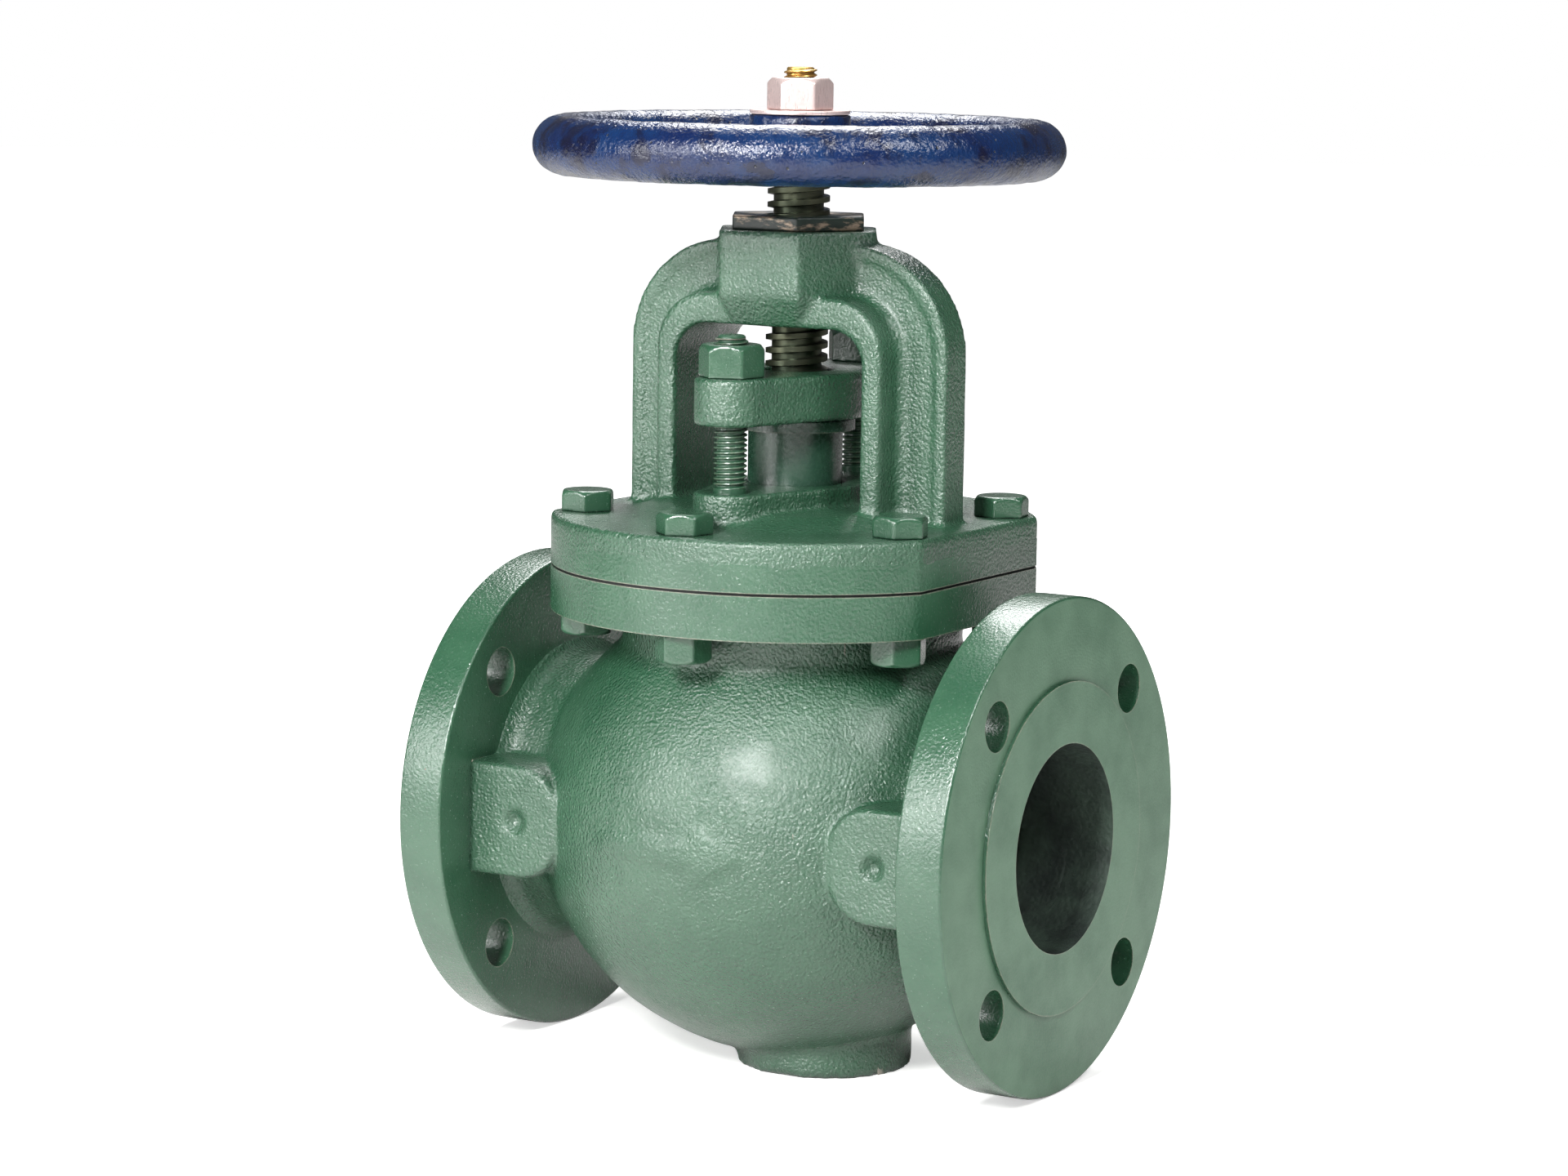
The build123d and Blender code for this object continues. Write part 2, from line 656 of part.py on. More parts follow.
with BuildPart() as gland_flange:
    with BuildSketch(Plane.XY.offset(gland_bottom)):
        Circle(gland_middle_radius)
        with Locations((0, gland_stud_reach), (0, -gland_stud_reach)):
            Circle(gland_end_radius)
        make_hull()
    extrude(amount=gland_flange_thickness)
    fillet(gland_flange.edges().group_by(Axis.Z)[-1], radius=gland_edge_round)
    fillet(gland_flange.edges().group_by(Axis.Z)[0], radius=gland_edge_round)
    with BuildSketch(Plane.XY.offset(gland_bottom)):
        Circle(stem_radius + gland_gap)
        with Locations((0, gland_stud_reach), (0, -gland_stud_reach)):
            Circle(gland_stud_dia / 2 + stud_hole_gap)
    extrude(amount=gland_flange_thickness, mode=Mode.SUBTRACT)
write(gland_flange.part, "gland_flange")

for side, place in ((-1, "front"), (1, "rear")):
    with BuildPart() as gland_stud:
        with BuildSketch(Plane.XY.offset(stud_bottom)):
            with Locations((0, side * gland_stud_reach)):
                Circle(gland_stud_dia / 2)
        extrude(amount=stud_top - stud_bottom)
        chamfer(gland_stud.edges().group_by(Axis.Z)[-1], length=turned_chamfer)
    write(gland_stud.part, f"gland_stud_{place}")

    gland_blank = hexagon_blank(gland_hex, gland_nut_height, gland_top, gland_nut_turns[place])
    with BuildPart() as gland_nut:
        add(gland_blank.moved(Location((0, side * gland_stud_reach, 0))))
        with BuildSketch(Plane.XY.offset(gland_top)):
            with Locations((0, side * gland_stud_reach)):
                Circle(gland_stud_dia / 2 + running_gap)
        extrude(amount=gland_nut_height, mode=Mode.SUBTRACT)
    write(gland_nut.part, f"gland_nut_{place}")

# ---------------------------------------------------------------- yoke bushing
with BuildPart() as yoke_bushing:
    with BuildSketch(Plane.XY.offset(window_top)):
        Circle(bushing_shank_dia / 2 - fixed_gap)
    extrude(amount=hub_top_z - window_top)
    with BuildSketch(Plane.XY.offset(hub_top_z)):
        RegularPolygon(bushing_hex / 2, 6, major_radius=False)
    extrude(amount=bushing_flange)
    with BuildSketch(Plane.XY.offset(window_top)):
        Circle(bushing_bore)
    extrude(amount=bushing_top - window_top, mode=Mode.SUBTRACT)
write(yoke_bushing.part, "yoke_bushing")

with BuildPart() as bushing_set_screw:
    with BuildSketch(set_screw_plane):
        Circle(set_screw_dia / 2 - fixed_gap)
    extrude(amount=-set_screw_length)
    with BuildSketch(set_screw_plane):
        RegularPolygon(set_screw_dia / 4, 6, major_radius=False)
    extrude(amount=-set_screw_dia / 2, mode=Mode.SUBTRACT)
write(bushing_set_screw.part, "bushing_set_screw")

# ---------------------------------------------------------------- disc and its nut
disc_hub_radius = disc_hub_dia / 2
button_radius = button_dia / 2

with BuildPart() as disc:
    with BuildSketch(Plane.XZ):
        with BuildLine():
            Polyline((0, disc_bottom), (disc_dia / 2, disc_bottom),
                     (disc_dia / 2, disc_bottom + disc_thickness - disc_edge),
                     (disc_dia / 2 - disc_edge, disc_bottom + disc_thickness),
                     (disc_hub_radius, disc_bottom + disc_thickness),
                     (disc_hub_radius, disc_hub_top),
                     (disc_nut_dia / 2, disc_hub_top), (disc_nut_dia / 2, disc_nut_bottom),
                     (button_radius + swivel_gap, disc_nut_bottom),
                     (button_radius + swivel_gap, button_bottom - swivel_gap),
                     (0, button_bottom - swivel_gap), close=True)
        make_face()
    revolve(axis=Axis.Z)
write(disc.part, "disc")

with BuildPart() as disc_nut:
    with BuildSketch(Plane.XY.offset(disc_nut_bottom)):
        Circle(disc_nut_dia / 2 - fixed_gap)
    extrude(amount=disc_nut_length)
    with BuildSketch(Plane.XY.offset(disc_hub_top)):
        RegularPolygon(disc_nut_hex / 2, 6, major_radius=False)
    extrude(amount=disc_nut_head)
    with BuildSketch(Plane.XY.offset(disc_nut_bottom)):
        Circle(stem_neck_dia / 2 + swivel_gap)
    extrude(amount=disc_nut_top - disc_nut_bottom, mode=Mode.SUBTRACT)
write(disc_nut.part, "disc_nut")

# ---------------------------------------------------------------- stem
with BuildPart() as stem:
    with BuildSketch(Plane.XZ):
        with BuildLine():
            Polyline((0, button_bottom), (button_radius, button_bottom),
                     (button_radius, button_top), (stem_neck_dia / 2, button_top),
                     (stem_neck_dia / 2, backseat_bottom - backseat_collar),
                     (backseat_radius, backseat_bottom - backseat_collar),
                     (backseat_radius, backseat_bottom), (stem_radius, backseat_top),
                     (stem_radius, wheel_hub_bottom), (0, wheel_hub_bottom), close=True)
        make_face()
    revolve(axis=Axis.Z)
    with BuildSketch(Plane.XY.offset(wheel_hub_bottom)):
        Rectangle(stem_square, stem_square)
        Circle(stem_radius - square_corner_inset, mode=Mode.INTERSECT)
    extrude(amount=wheel_hub_height - square_drop)
    with BuildSketch(Plane.XY.offset(wheel_hub_bottom)):
        Circle(wheel_stud_dia / 2)
    extrude(amount=stem_top - wheel_hub_bottom)
    chamfer(stem.edges().group_by(Axis.Z)[-1], length=turned_chamfer)
write(stem.part, "stem")

# ---------------------------------------------------------------- handwheel
rim_radius_mid = (wheel_dia - wheel_rim) / 2
rim_height = wheel_hub_bottom + wheel_rim_rise
spoke_start = wheel_hub_dia / 2 - spoke_root
spoke_end = rim_radius_mid - spoke_bury

with BuildPart() as handwheel:
    with BuildSketch(Plane.XZ):
        with Locations((rim_radius_mid, rim_height)):
            Circle(wheel_rim / 2)
    revolve(axis=Axis.Z)
    with BuildSketch(Plane.XY.offset(wheel_hub_bottom)):
        Circle(wheel_hub_dia / 2)
    extrude(amount=wheel_hub_height)
    for spoke in range(wheel_spokes):
        angle = math.radians(360 / wheel_spokes * spoke + 90)
        outward = Vector(math.cos(angle), math.sin(angle), 0)
        across = Vector(-math.sin(angle), math.cos(angle), 0)
        for reach, scale in ((spoke_start, 1.0), (spoke_end, spoke_taper)):
            section = Plane(origin=outward * reach + Vector(0, 0, rim_height),
                            x_dir=across, z_dir=outward)
            with BuildSketch(section):
                Ellipse(spoke_width / 2 * scale, spoke_height / 2 * scale)
        loft()
    with BuildSketch(Plane.XY.offset(wheel_hub_bottom)):
        Rectangle(stem_square + 2 * square_gap, stem_square + 2 * square_gap)
        Circle(stem_radius - square_corner_inset + square_gap, mode=Mode.INTERSECT)
    extrude(amount=wheel_hub_height, mode=Mode.SUBTRACT)
write(handwheel.part, "handwheel")

with BuildPart() as wheel_washer:
    with BuildSketch(Plane.XY.offset(wheel_hub_top)):
        Circle(washer_dia / 2)
        Circle(wheel_stud_dia / 2 + fixed_gap, mode=Mode.SUBTRACT)
    extrude(amount=washer_thickness)
write(wheel_washer.part, "wheel_washer")

wheel_nut_blank = hexagon_blank(wheel_hex, wheel_nut_height, washer_top, wheel_nut_turn)
with BuildPart() as wheel_nut:
    add(wheel_nut_blank)
    with BuildSketch(Plane.XY.offset(washer_top)):
        Circle(wheel_stud_dia / 2 + fixed_gap)
    extrude(amount=wheel_nut_height, mode=Mode.SUBTRACT)
write(wheel_nut.part, "wheel_nut")
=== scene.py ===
"""Looks of a flanged globe valve with an outside screw and yoke, built round its CAD frame.

The castings get skins with soft edges and a sand-cast surface, the stem and the gland
studs get real screw threads, and every piece gets its own finish.  Lengths are in
metres, in the frame of the CAD model: the pipe run along X, the stem along Z.
"""

import math

import bpy
from mathutils import Matrix, Vector


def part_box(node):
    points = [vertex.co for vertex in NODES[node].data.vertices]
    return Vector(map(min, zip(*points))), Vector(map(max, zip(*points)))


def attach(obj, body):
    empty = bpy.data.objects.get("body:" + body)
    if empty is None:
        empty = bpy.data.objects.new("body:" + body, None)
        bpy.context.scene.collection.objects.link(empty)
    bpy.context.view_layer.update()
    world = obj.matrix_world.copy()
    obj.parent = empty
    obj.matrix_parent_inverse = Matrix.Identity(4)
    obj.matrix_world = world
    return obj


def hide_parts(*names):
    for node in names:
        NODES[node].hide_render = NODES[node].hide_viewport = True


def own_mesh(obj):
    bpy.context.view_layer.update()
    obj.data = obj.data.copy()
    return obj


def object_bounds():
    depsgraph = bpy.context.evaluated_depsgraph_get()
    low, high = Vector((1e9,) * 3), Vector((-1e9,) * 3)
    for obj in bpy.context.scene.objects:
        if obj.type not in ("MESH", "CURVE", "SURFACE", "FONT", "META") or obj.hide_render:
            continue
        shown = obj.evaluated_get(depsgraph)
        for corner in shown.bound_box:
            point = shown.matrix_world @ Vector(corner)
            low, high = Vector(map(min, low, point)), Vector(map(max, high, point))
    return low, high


bl_info = {
    "name": "Flanged Globe Valve",
    "version": (1, 0, 0),
    "blender": (4, 5, 0),
    "location": "3D View > Sidebar > Globe Valve",
    "description": "Castings, screw threads and finishes of a flanged globe valve",
    "category": "Add Mesh",
}

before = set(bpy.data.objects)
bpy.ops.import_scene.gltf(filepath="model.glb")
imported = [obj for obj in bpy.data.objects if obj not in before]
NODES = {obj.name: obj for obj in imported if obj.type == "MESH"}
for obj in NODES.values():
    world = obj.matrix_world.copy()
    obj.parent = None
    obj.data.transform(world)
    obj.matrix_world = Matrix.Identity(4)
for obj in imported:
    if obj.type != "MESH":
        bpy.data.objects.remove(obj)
CAD_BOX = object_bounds()

MM = 0.001
MERGE = 0.002 * MM              # vertices this close are one vertex
TURNED_ANGLE = math.radians(32)


def node_top(name):
    """Height of a CAD node's highest point."""
    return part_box(name)[1].z


def node_foot(name):
    """Height of a CAD node's lowest point."""
    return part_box(name)[0].z


# Places that several pieces share, read from the frame
HALF_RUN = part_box("body")[1].x
RUN_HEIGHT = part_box("body")[1].y    # the end flanges stand on Z = 0, as high as they are wide
JOINT_FLANGE_FOOT = node_top("bonnet_nuts")
GASKET_TOP = node_top("bonnet_gasket")
BOLT_HEAD = 8.0 * MM
COVER_TOP = node_top("bonnet_bolts") - BOLT_HEAD
WHEEL_FOOT = node_foot("handwheel")
WHEEL_TOP = node_top("handwheel")
STEM_TOP = node_top("stem")
PACKING = sorted(name for name in NODES if name.startswith("packing_ring"))
PACKING_FOOT = min(node_foot(name) for name in PACKING)

# Facet sizes of the small pieces' skins
GLAND_SKIN = 0.9 * MM
BUSHING_SKIN = 0.6 * MM
WHEEL_NUT_SKIN = 0.5 * MM
WASHER_SKIN = 0.3 * MM

# Stem: radii of its button, the groove above it, the shoulder and the threads' crests
BUTTON = 13.5 * MM
GROOVE = 8.0 * MM
SHOULDER = 16.0 * MM
STEM_CREST = 12.0 * MM
TIP_CREST = 6.35 * MM
SQUARE = 16.0 * MM              # width of the square that drives the handwheel
STUD_FOOT = node_foot("gland_stud_front")
STUD_TOP = node_top("gland_stud_front")
STUD_REACH = (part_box("gland_stud_rear")[0].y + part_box("gland_stud_rear")[1].y) / 2

# End flange with its raised face, and where the pieces of the body part from each other
FLANGE_DEPTH = 20.65 * MM
FLANGE_BACK = HALF_RUN - FLANGE_DEPTH
PORT_RADIUS = 40.0 * MM
CUT_OVERLAP = 0.2 * MM
SKIN_ROOT = 3.0 * MM            # how far a casting's skin runs into the flange it carries
NECK_START = 48.0 * MM          # where the necks' finer skin starts, from the stem's axis
NECK_LAP = 8.0 * MM             # how far the globe's skin runs on under it


def tone(red, green, blue):
    """A colour given as 0 to 255 screen values, as Blender's linear red, green and blue."""
    def linear(value):
        share = value / 255
        return share / 12.92 if share <= 0.04045 else ((share + 0.055) / 1.055) ** 2.4
    return (linear(red), linear(green), linear(blue))


def colour_property(name, description, default):
    return bpy.props.FloatVectorProperty(name=name, description=description, default=default,
                                         subtype="COLOR", size=3, min=0.0, max=1.0)


def length_property(name, description, default):
    return bpy.props.FloatProperty(name=name, description=description, default=default,
                                   min=0.0, subtype="DISTANCE", unit="LENGTH")


# ---------------------------------------------------------------- what a user may change
class GlobeValvePaint(bpy.types.PropertyGroup):
    """Colours of the paints, the bare metals and the painted shade in hollows."""
    green: colour_property("Green", "Enamel on the castings and fasteners", tone(38, 78, 55))
    green_light: colour_property("Light green", "Enamel where it lies thin", tone(58, 96, 72))
    # Dark green is painted shade in corners and hollows; on the bushing it is also the green
    # overspray.
    green_dark: colour_property("Dark green", "Enamel in corners and hollows", tone(20, 34, 28))
    worn_edge: colour_property("Worn edge", "Iron showing at rubbed edges", tone(168, 158, 146))
    blue: colour_property("Blue", "Enamel on the handwheel", tone(10, 26, 64))
    blue_light: colour_property("Light blue", "Handwheel enamel where it is thin",
                                tone(12, 42, 82))
    # Dark blue is the pooled enamel's runs, and painted shade in the handwheel's hollows.
    blue_dark: colour_property("Dark blue", "Handwheel enamel where it pooled", tone(13, 9, 27))
    primer: colour_property("Primer", "Red primer under small chips", tone(150, 62, 52))
    zinc: colour_property("Zinc", "Plating on the wheel nut and washer", tone(238, 216, 212))
    stem_metal: colour_property("Stem", "Greased brass of the stem's thread", tone(92, 94, 76))
    bronze: colour_property("Bronze", "Yoke bushing", tone(158, 140, 122))
    brass: colour_property("Brass", "Bare tip of the stem", tone(224, 184, 108))
    graphite: colour_property("Graphite", "Packing, gasket and other dark pieces",
                              tone(30, 31, 32))


class GlobeValveSurface(bpy.types.PropertyGroup):
    """Sizes of the castings' surface and of the threads."""
    body_skin: length_property("Body skin", "Facet size of the globe's skin", 1.8 * MM)
    neck_skin: length_property("Neck skin", "Facet size of the two necks and their lugs",
                               1.15 * MM)
    bonnet_skin: length_property("Bonnet skin", "Facet size of the yoke's skin", 1.16 * MM)
    wheel_skin: length_property("Wheel skin", "Facet size of the handwheel's skin", 1.15 * MM)
    fastener_skin: length_property("Fastener skin", "Facet size of bolts and nuts", 0.55 * MM)
    lump_size: length_property("Lump size", "Width of the castings' lumps", 14.0 * MM)
    lump_depth: length_property("Lump depth", "Height of the castings' lumps", 0.45 * MM)
    grain_size: length_property("Grain size", "Width of a sand grain's mark", 1.15 * MM)
    stem_pitch: length_property("Stem pitch", "Rise of the stem's thread in one turn", 5.08 * MM)
    stem_thread_depth: length_property("Stem thread depth", "Root to crest", 2.35 * MM)
    stud_pitch: length_property("Stud pitch", "Rise of the studs' thread in one turn",
                                1.954 * MM)
    stud_thread_depth: length_property("Stud thread depth", "Root to crest", 1.1 * MM)


class GlobeValveStage(bpy.types.PropertyGroup):
    """Where the camera stands and how strong the lights are."""
    azimuth: bpy.props.FloatProperty(name="Azimuth", description="Camera's turn round the valve",
                                     default=math.radians(30.66), subtype="ANGLE")
    elevation: bpy.props.FloatProperty(name="Elevation", description="Camera above the horizon",
                                       default=math.radians(7.91), subtype="ANGLE")
    roll: bpy.props.FloatProperty(name="Roll", description="Camera's turn about its own axis",
                                  default=math.radians(0.8), subtype="ANGLE")
    lens: bpy.props.FloatProperty(name="Lens", description="Focal length in millimetres",
                                  default=100.04, min=10.0)
    distance: length_property("Distance", "Camera to the point it looks at", 1.6896)
    look_below: length_property("Look below", "Aim point below the middle of the valve",
                                8.2 * MM)
    look_left: length_property("Look left", "Aim point left of the stem", 3.6 * MM)
    floor_radius: length_property("Floor radius", "Size of the floor", 9.0)
    floor_tone: colour_property("Floor", "Colour of the floor", tone(244, 243, 241))
    key_power: bpy.props.FloatProperty(name="Key light", description="Watts of the main softbox",
                                       default=30.0, min=0.0)
    fill_power: bpy.props.FloatProperty(name="Fill light", description="Watts of the side softbox",
                                        default=13.0, min=0.0)
    sky: bpy.props.FloatProperty(name="Sky", description="Strength of the white surroundings",
                                 default=0.1, min=0.0)


# ---------------------------------------------------------------- working in edit mode
def only(piece):
    """Makes one object the selected and active one, in object mode."""
    if bpy.context.mode != "OBJECT":
        leave_edit()
    bpy.ops.object.select_all(action="DESELECT")
    piece.select_set(True)
    bpy.context.view_layer.objects.active = piece


def edit_all(piece):
    """Enters edit mode with all of the piece selected."""
    only(piece)
    bpy.ops.object.mode_set(mode="EDIT")
    bpy.ops.mesh.select_all(action="SELECT")


def leave_edit():
    bpy.ops.object.mode_set(mode="OBJECT")


def select_faces(piece, wanted):
    """Enters edit mode with the faces selected that wanted(centre, normal) accepts."""
    only(piece)
    bpy.ops.object.mode_set(mode="EDIT")
    bpy.ops.mesh.select_mode(type="FACE")
    bpy.ops.mesh.select_all(action="DESELECT")
    leave_edit()
    for face in piece.data.polygons:
        face.select = wanted(face.center, face.normal)
    bpy.ops.object.mode_set(mode="EDIT")


def select_points(piece, wanted):
    """Enters edit mode with the vertices selected that wanted(place) accepts."""
    only(piece)
    bpy.ops.object.mode_set(mode="EDIT")
    bpy.ops.mesh.select_mode(type="VERT")
    bpy.ops.mesh.select_all(action="DESELECT")
    leave_edit()
    for point in piece.data.vertices:
        point.select = wanted(point.co)
    bpy.ops.object.mode_set(mode="EDIT")


def apply_modifiers(piece):
    only(piece)
    for modifier in list(piece.modifiers):
        bpy.ops.object.modifier_apply(modifier=modifier.name)


def place_in_mesh(piece):
    """Moves the piece's place, turn and size into its mesh."""
    only(piece)
    bpy.ops.object.transform_apply(location=True, rotation=True, scale=True)


def copy_node(node, name):
    """A piece of its own with a CAD node's shape, its loose triangles merged."""
    mesh = NODES[node].data.copy()
    mesh.name = name
    mesh.materials.clear()
    piece = bpy.data.objects.new(name, mesh)
    bpy.context.scene.collection.objects.link(piece)
    only(piece)
    bpy.ops.mesh.customdata_custom_splitnormals_clear()
    edit_all(piece)
    bpy.ops.mesh.remove_doubles(threshold=MERGE)
    leave_edit()
    return piece


def cut_away(piece, point, outward):
    """Cuts the piece at a plane, removes the side that outward points to, and caps it."""
    edit_all(piece)
    bpy.ops.mesh.bisect(plane_co=point, plane_no=outward, use_fill=True, clear_outer=True,
                        threshold=MERGE)
    leave_edit()


def lengthen_cap(piece, point, outward, reach, taper=1.0):
    """Extrudes the flat cap that a cut left at a plane, and draws it in a little."""
    def on_cap(centre, normal):
        level = abs((centre - Vector(point)).dot(Vector(outward))) < 0.05 * MM
        return level and normal.dot(Vector(outward)) > 0.99
    select_faces(piece, on_cap)
    step = Vector(outward) * reach
    bpy.ops.mesh.extrude_region_move(TRANSFORM_OT_translate={"value": tuple(step)})
    if taper != 1.0:
        bpy.ops.transform.resize(value=(taper, taper, 1), center_override=point)
    leave_edit()


def smooth_by_angle(piece):
    only(piece)
    bpy.ops.object.shade_smooth_by_angle(angle=TURNED_ANGLE)


def soften(piece, facet, passes):
    """Gives the piece one even skin and rounds its edges a little."""
    skin = piece.modifiers.new("skin", "REMESH")
    skin.mode = "VOXEL"
    skin.voxel_size = facet
    skin.use_smooth_shade = True
    ease = piece.modifiers.new("ease", "SMOOTH")
    ease.factor = 0.5
    ease.iterations = passes
    apply_modifiers(piece)
    only(piece)
    bpy.ops.object.shade_smooth()


def add_lumps(piece, size, depth):
    """Lifts and lowers the skin in soft lumps, as a sand mould leaves it."""
    cloud = bpy.data.textures.get("mould_lumps") or bpy.data.textures.new("mould_lumps", "CLOUDS")
    cloud.noise_scale = size
    cloud.noise_depth = 2
    lumps = piece.modifiers.new("lumps", "DISPLACE")
    lumps.texture = cloud
    lumps.texture_coords = "LOCAL"
    lumps.strength = depth
    lumps.mid_level = 0.5
    apply_modifiers(piece)


def combine(piece, other, operation):
    """Joins another solid to the piece, or cuts it from it, and deletes the other."""
    step = piece.modifiers.new("combine", "BOOLEAN")
    step.operation = operation
    step.solver = "EXACT"
    step.object = other
    apply_modifiers(piece)
    bpy.data.objects.remove(other)


def finish_piece(piece, body, slot, *materials):
    """Gives a piece its materials and lets it ride on a body; its slot is not used."""
    for material in materials:
        piece.data.materials.append(material)
    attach(piece, body)


def turned_bar(name, steps, sides=64):
    """A solid turned about Z: a disc extruded and resized through (radius, height) steps."""
    (radius, height), rest = steps[0], steps[1:]
    bpy.ops.object.select_all(action="DESELECT")
    bpy.ops.mesh.primitive_circle_add(vertices=sides, radius=radius, fill_type="NGON",
                                      location=(0, 0, height))
    piece = bpy.context.object
    piece.name = name
    place_in_mesh(piece)
    edit_all(piece)
    for next_radius, next_height in rest:
        rise = (0, 0, next_height - height)
        bpy.ops.mesh.extrude_region_move(TRANSFORM_OT_translate={"value": rise})
        ratio = next_radius / radius
        bpy.ops.transform.resize(value=(ratio, ratio, 1), center_override=(0, 0, next_height))
        radius, height = next_radius, next_height
    bpy.ops.mesh.select_all(action="SELECT")
    bpy.ops.mesh.normals_make_consistent(inside=False)
    leave_edit()
    return piece


def screw_thread(name, crest, depth, pitch, low, high, steps=40, flat=False):
    """A closed screw of right-hand thread about Z, from a tooth that a screw winds up.

    The tooth is one edge, a pitch long, divided in eight: its middle moves out to the
    crest, and its flanks lean in towards the root. A flat tooth has a flat crest and steep
    flanks, as a power screw has.
    """
    root = crest - depth
    start = low - pitch
    bpy.ops.object.select_all(action="DESELECT")
    bpy.ops.mesh.primitive_plane_add(size=pitch, location=(root + pitch / 2, 0, start + pitch / 2),
                                     rotation=(math.pi / 2, 0, 0))
    piece = bpy.context.object
    piece.name = name
    place_in_mesh(piece)
    select_points(piece, lambda place: place.x > root + pitch / 2)
    bpy.ops.mesh.delete(type="VERT")
    bpy.ops.mesh.select_all(action="SELECT")
    bpy.ops.mesh.subdivide(number_cuts=7)
    middle = start + pitch / 2
    tooth = ((0.26, 1.0),) if flat else ((0.26, 0.5), (0.13, 0.42), (0.01, 0.08))
    for half_width, share in tooth:
        select_points(piece, lambda place: abs(place.z - middle) < pitch * half_width)
        bpy.ops.transform.translate(value=(depth * share, 0, 0))
    if flat:
        select_points(piece, lambda place: abs(place.z - middle) < pitch * 0.4)
        bpy.ops.transform.resize(value=(1, 1, 0.78), center_override=(0, 0, middle))
    leave_edit()
    wind = piece.modifiers.new("wind", "SCREW")
    wind.axis = "Z"
    wind.angle = 2 * math.pi
    wind.screw_offset = pitch
    wind.iterations = math.ceil((high - low) / pitch) + 2
    wind.steps = steps
    wind.render_steps = steps
    wind.use_merge_vertices = True
    wind.merge_threshold = MERGE
    apply_modifiers(piece)
    edit_all(piece)
    bpy.ops.mesh.remove_doubles(threshold=MERGE)
    leave_edit()
    cut_away(piece, (0, 0, high), (0, 0, 1))
    cut_away(piece, (0, 0, low), (0, 0, -1))
    edit_all(piece)
    bpy.ops.mesh.normals_make_consistent(inside=False)
    leave_edit()
    return piece


# ---------------------------------------------------------------- shader building
def put(tree, kind, inputs=None, **settings):
    """Adds a node, sets it, and fills its inputs with values or with other sockets."""
    node = tree.nodes.new(kind)
    for key, value in settings.items():
        setattr(node, key, value)
    for key, value in (inputs or {}).items():
        if isinstance(value, bpy.types.NodeSocket):
            tree.links.new(value, node.inputs[key])
        else:
            node.inputs[key].default_value = value
    return node


def maths(tree, operation, first, second=0.5):
    """One step of arithmetic on two values or sockets."""
    return put(tree, "ShaderNodeMath", {0: first, 1: second}, operation=operation).outputs[0]


def blend_colours(tree, share, under, over):
    """The colour between two colours."""
    node = put(tree, "ShaderNodeMix", {"Factor": share}, data_type="RGBA")
    for index, value in ((6, under), (7, over)):
        if isinstance(value, bpy.types.NodeSocket):
            tree.links.new(value, node.inputs[index])
        else:
            node.inputs[index].default_value = (*value[:3], 1)
    return node.outputs[2]


def tint(tree, base, mask, share, colour):
    """Lays a colour over the base by a mask, with the mask's full strength cut to a share."""
    return blend_colours(tree, maths(tree, "MULTIPLY", mask, share), base, colour)


def graded(tree, value, gain, start):
    """A value scaled by a gain from a starting value."""
    return put(tree, "ShaderNodeMath", {0: value, 1: gain, 2: start},
               operation="MULTIPLY_ADD").outputs[0]


def step_mask(tree, value, low, high):
    """A mask that rises smoothly from 0 to 1 between two values."""
    inputs = {"Value": value, "From Min": low, "From Max": high}
    return put(tree, "ShaderNodeMapRange", inputs,
               interpolation_type="SMOOTHSTEP").outputs["Result"]


def noise(tree, place, frequency, detail=2.0, roughness=0.5):
    """Noise of that many waves to the millimetre."""
    inputs = {"Vector": place, "Scale": frequency, "Detail": detail, "Roughness": roughness}
    return put(tree, "ShaderNodeTexNoise", inputs).outputs["Fac"]


def new_group(name, inputs, outputs):
    """A shader node group with named sockets; gives the tree, its inputs and its end node."""
    tree = bpy.data.node_groups.new(name, "ShaderNodeTree")
    kinds = {"value": "NodeSocketFloat", "colour": "NodeSocketColor", "vector": "NodeSocketVector"}
    for title, kind, default in inputs:
        socket = tree.interface.new_socket(title, in_out="INPUT", socket_type=kinds[kind])
        if default is not None:
            socket.default_value = default
    for title, kind in outputs:
        tree.interface.new_socket(title, in_out="OUTPUT", socket_type=kinds[kind])
    begin = tree.nodes.new("NodeGroupInput")
    end = tree.nodes.new("NodeGroupOutput")
    return tree, begin.outputs, end


def in_millimetres(tree):
    """Object coordinates, in millimetres."""
    place = put(tree, "ShaderNodeTexCoord").outputs["Object"]
    return put(tree, "ShaderNodeVectorMath", {0: place, "Scale": 1 / MM},
               operation="SCALE").outputs[0]


def mould_grain_group():
    """Sand-cast surface: fine grain, pebbles and broad unevenness."""
    tree, given, end = new_group(
        "mould_grain",
        [("Grain Size", "value", 1.15), ("Pebbles", "value", 0.5), ("Unevenness", "value", 0.35)],
        [("Height", "value"), ("Grain", "value"), ("Patches", "value")])
    place = in_millimetres(tree)
    frequency = maths(tree, "DIVIDE", 1.0, given["Grain Size"])
    fine = noise(tree, place, frequency, 3.0, 0.6)
    pebble = put(tree, "ShaderNodeTexVoronoi",
                 {"Vector": place, "Scale": maths(tree, "MULTIPLY", frequency, 0.9),
                  "Smoothness": 0.6}, feature="SMOOTH_F1").outputs["Distance"]
    broad = noise(tree, place, 0.11, 2.0)
    patches = noise(tree, place, 0.045, 3.0, 0.6)
    dome = maths(tree, "MULTIPLY", maths(tree, "SUBTRACT", 0.8, pebble), given["Pebbles"])
    swell = maths(tree, "MULTIPLY", broad, given["Unevenness"])
    height = maths(tree, "ADD", maths(tree, "ADD", fine, dome), swell)
    tree.links.new(height, end.inputs["Height"])
    tree.links.new(fine, end.inputs["Grain"])
    tree.links.new(patches, end.inputs["Patches"])
    return tree


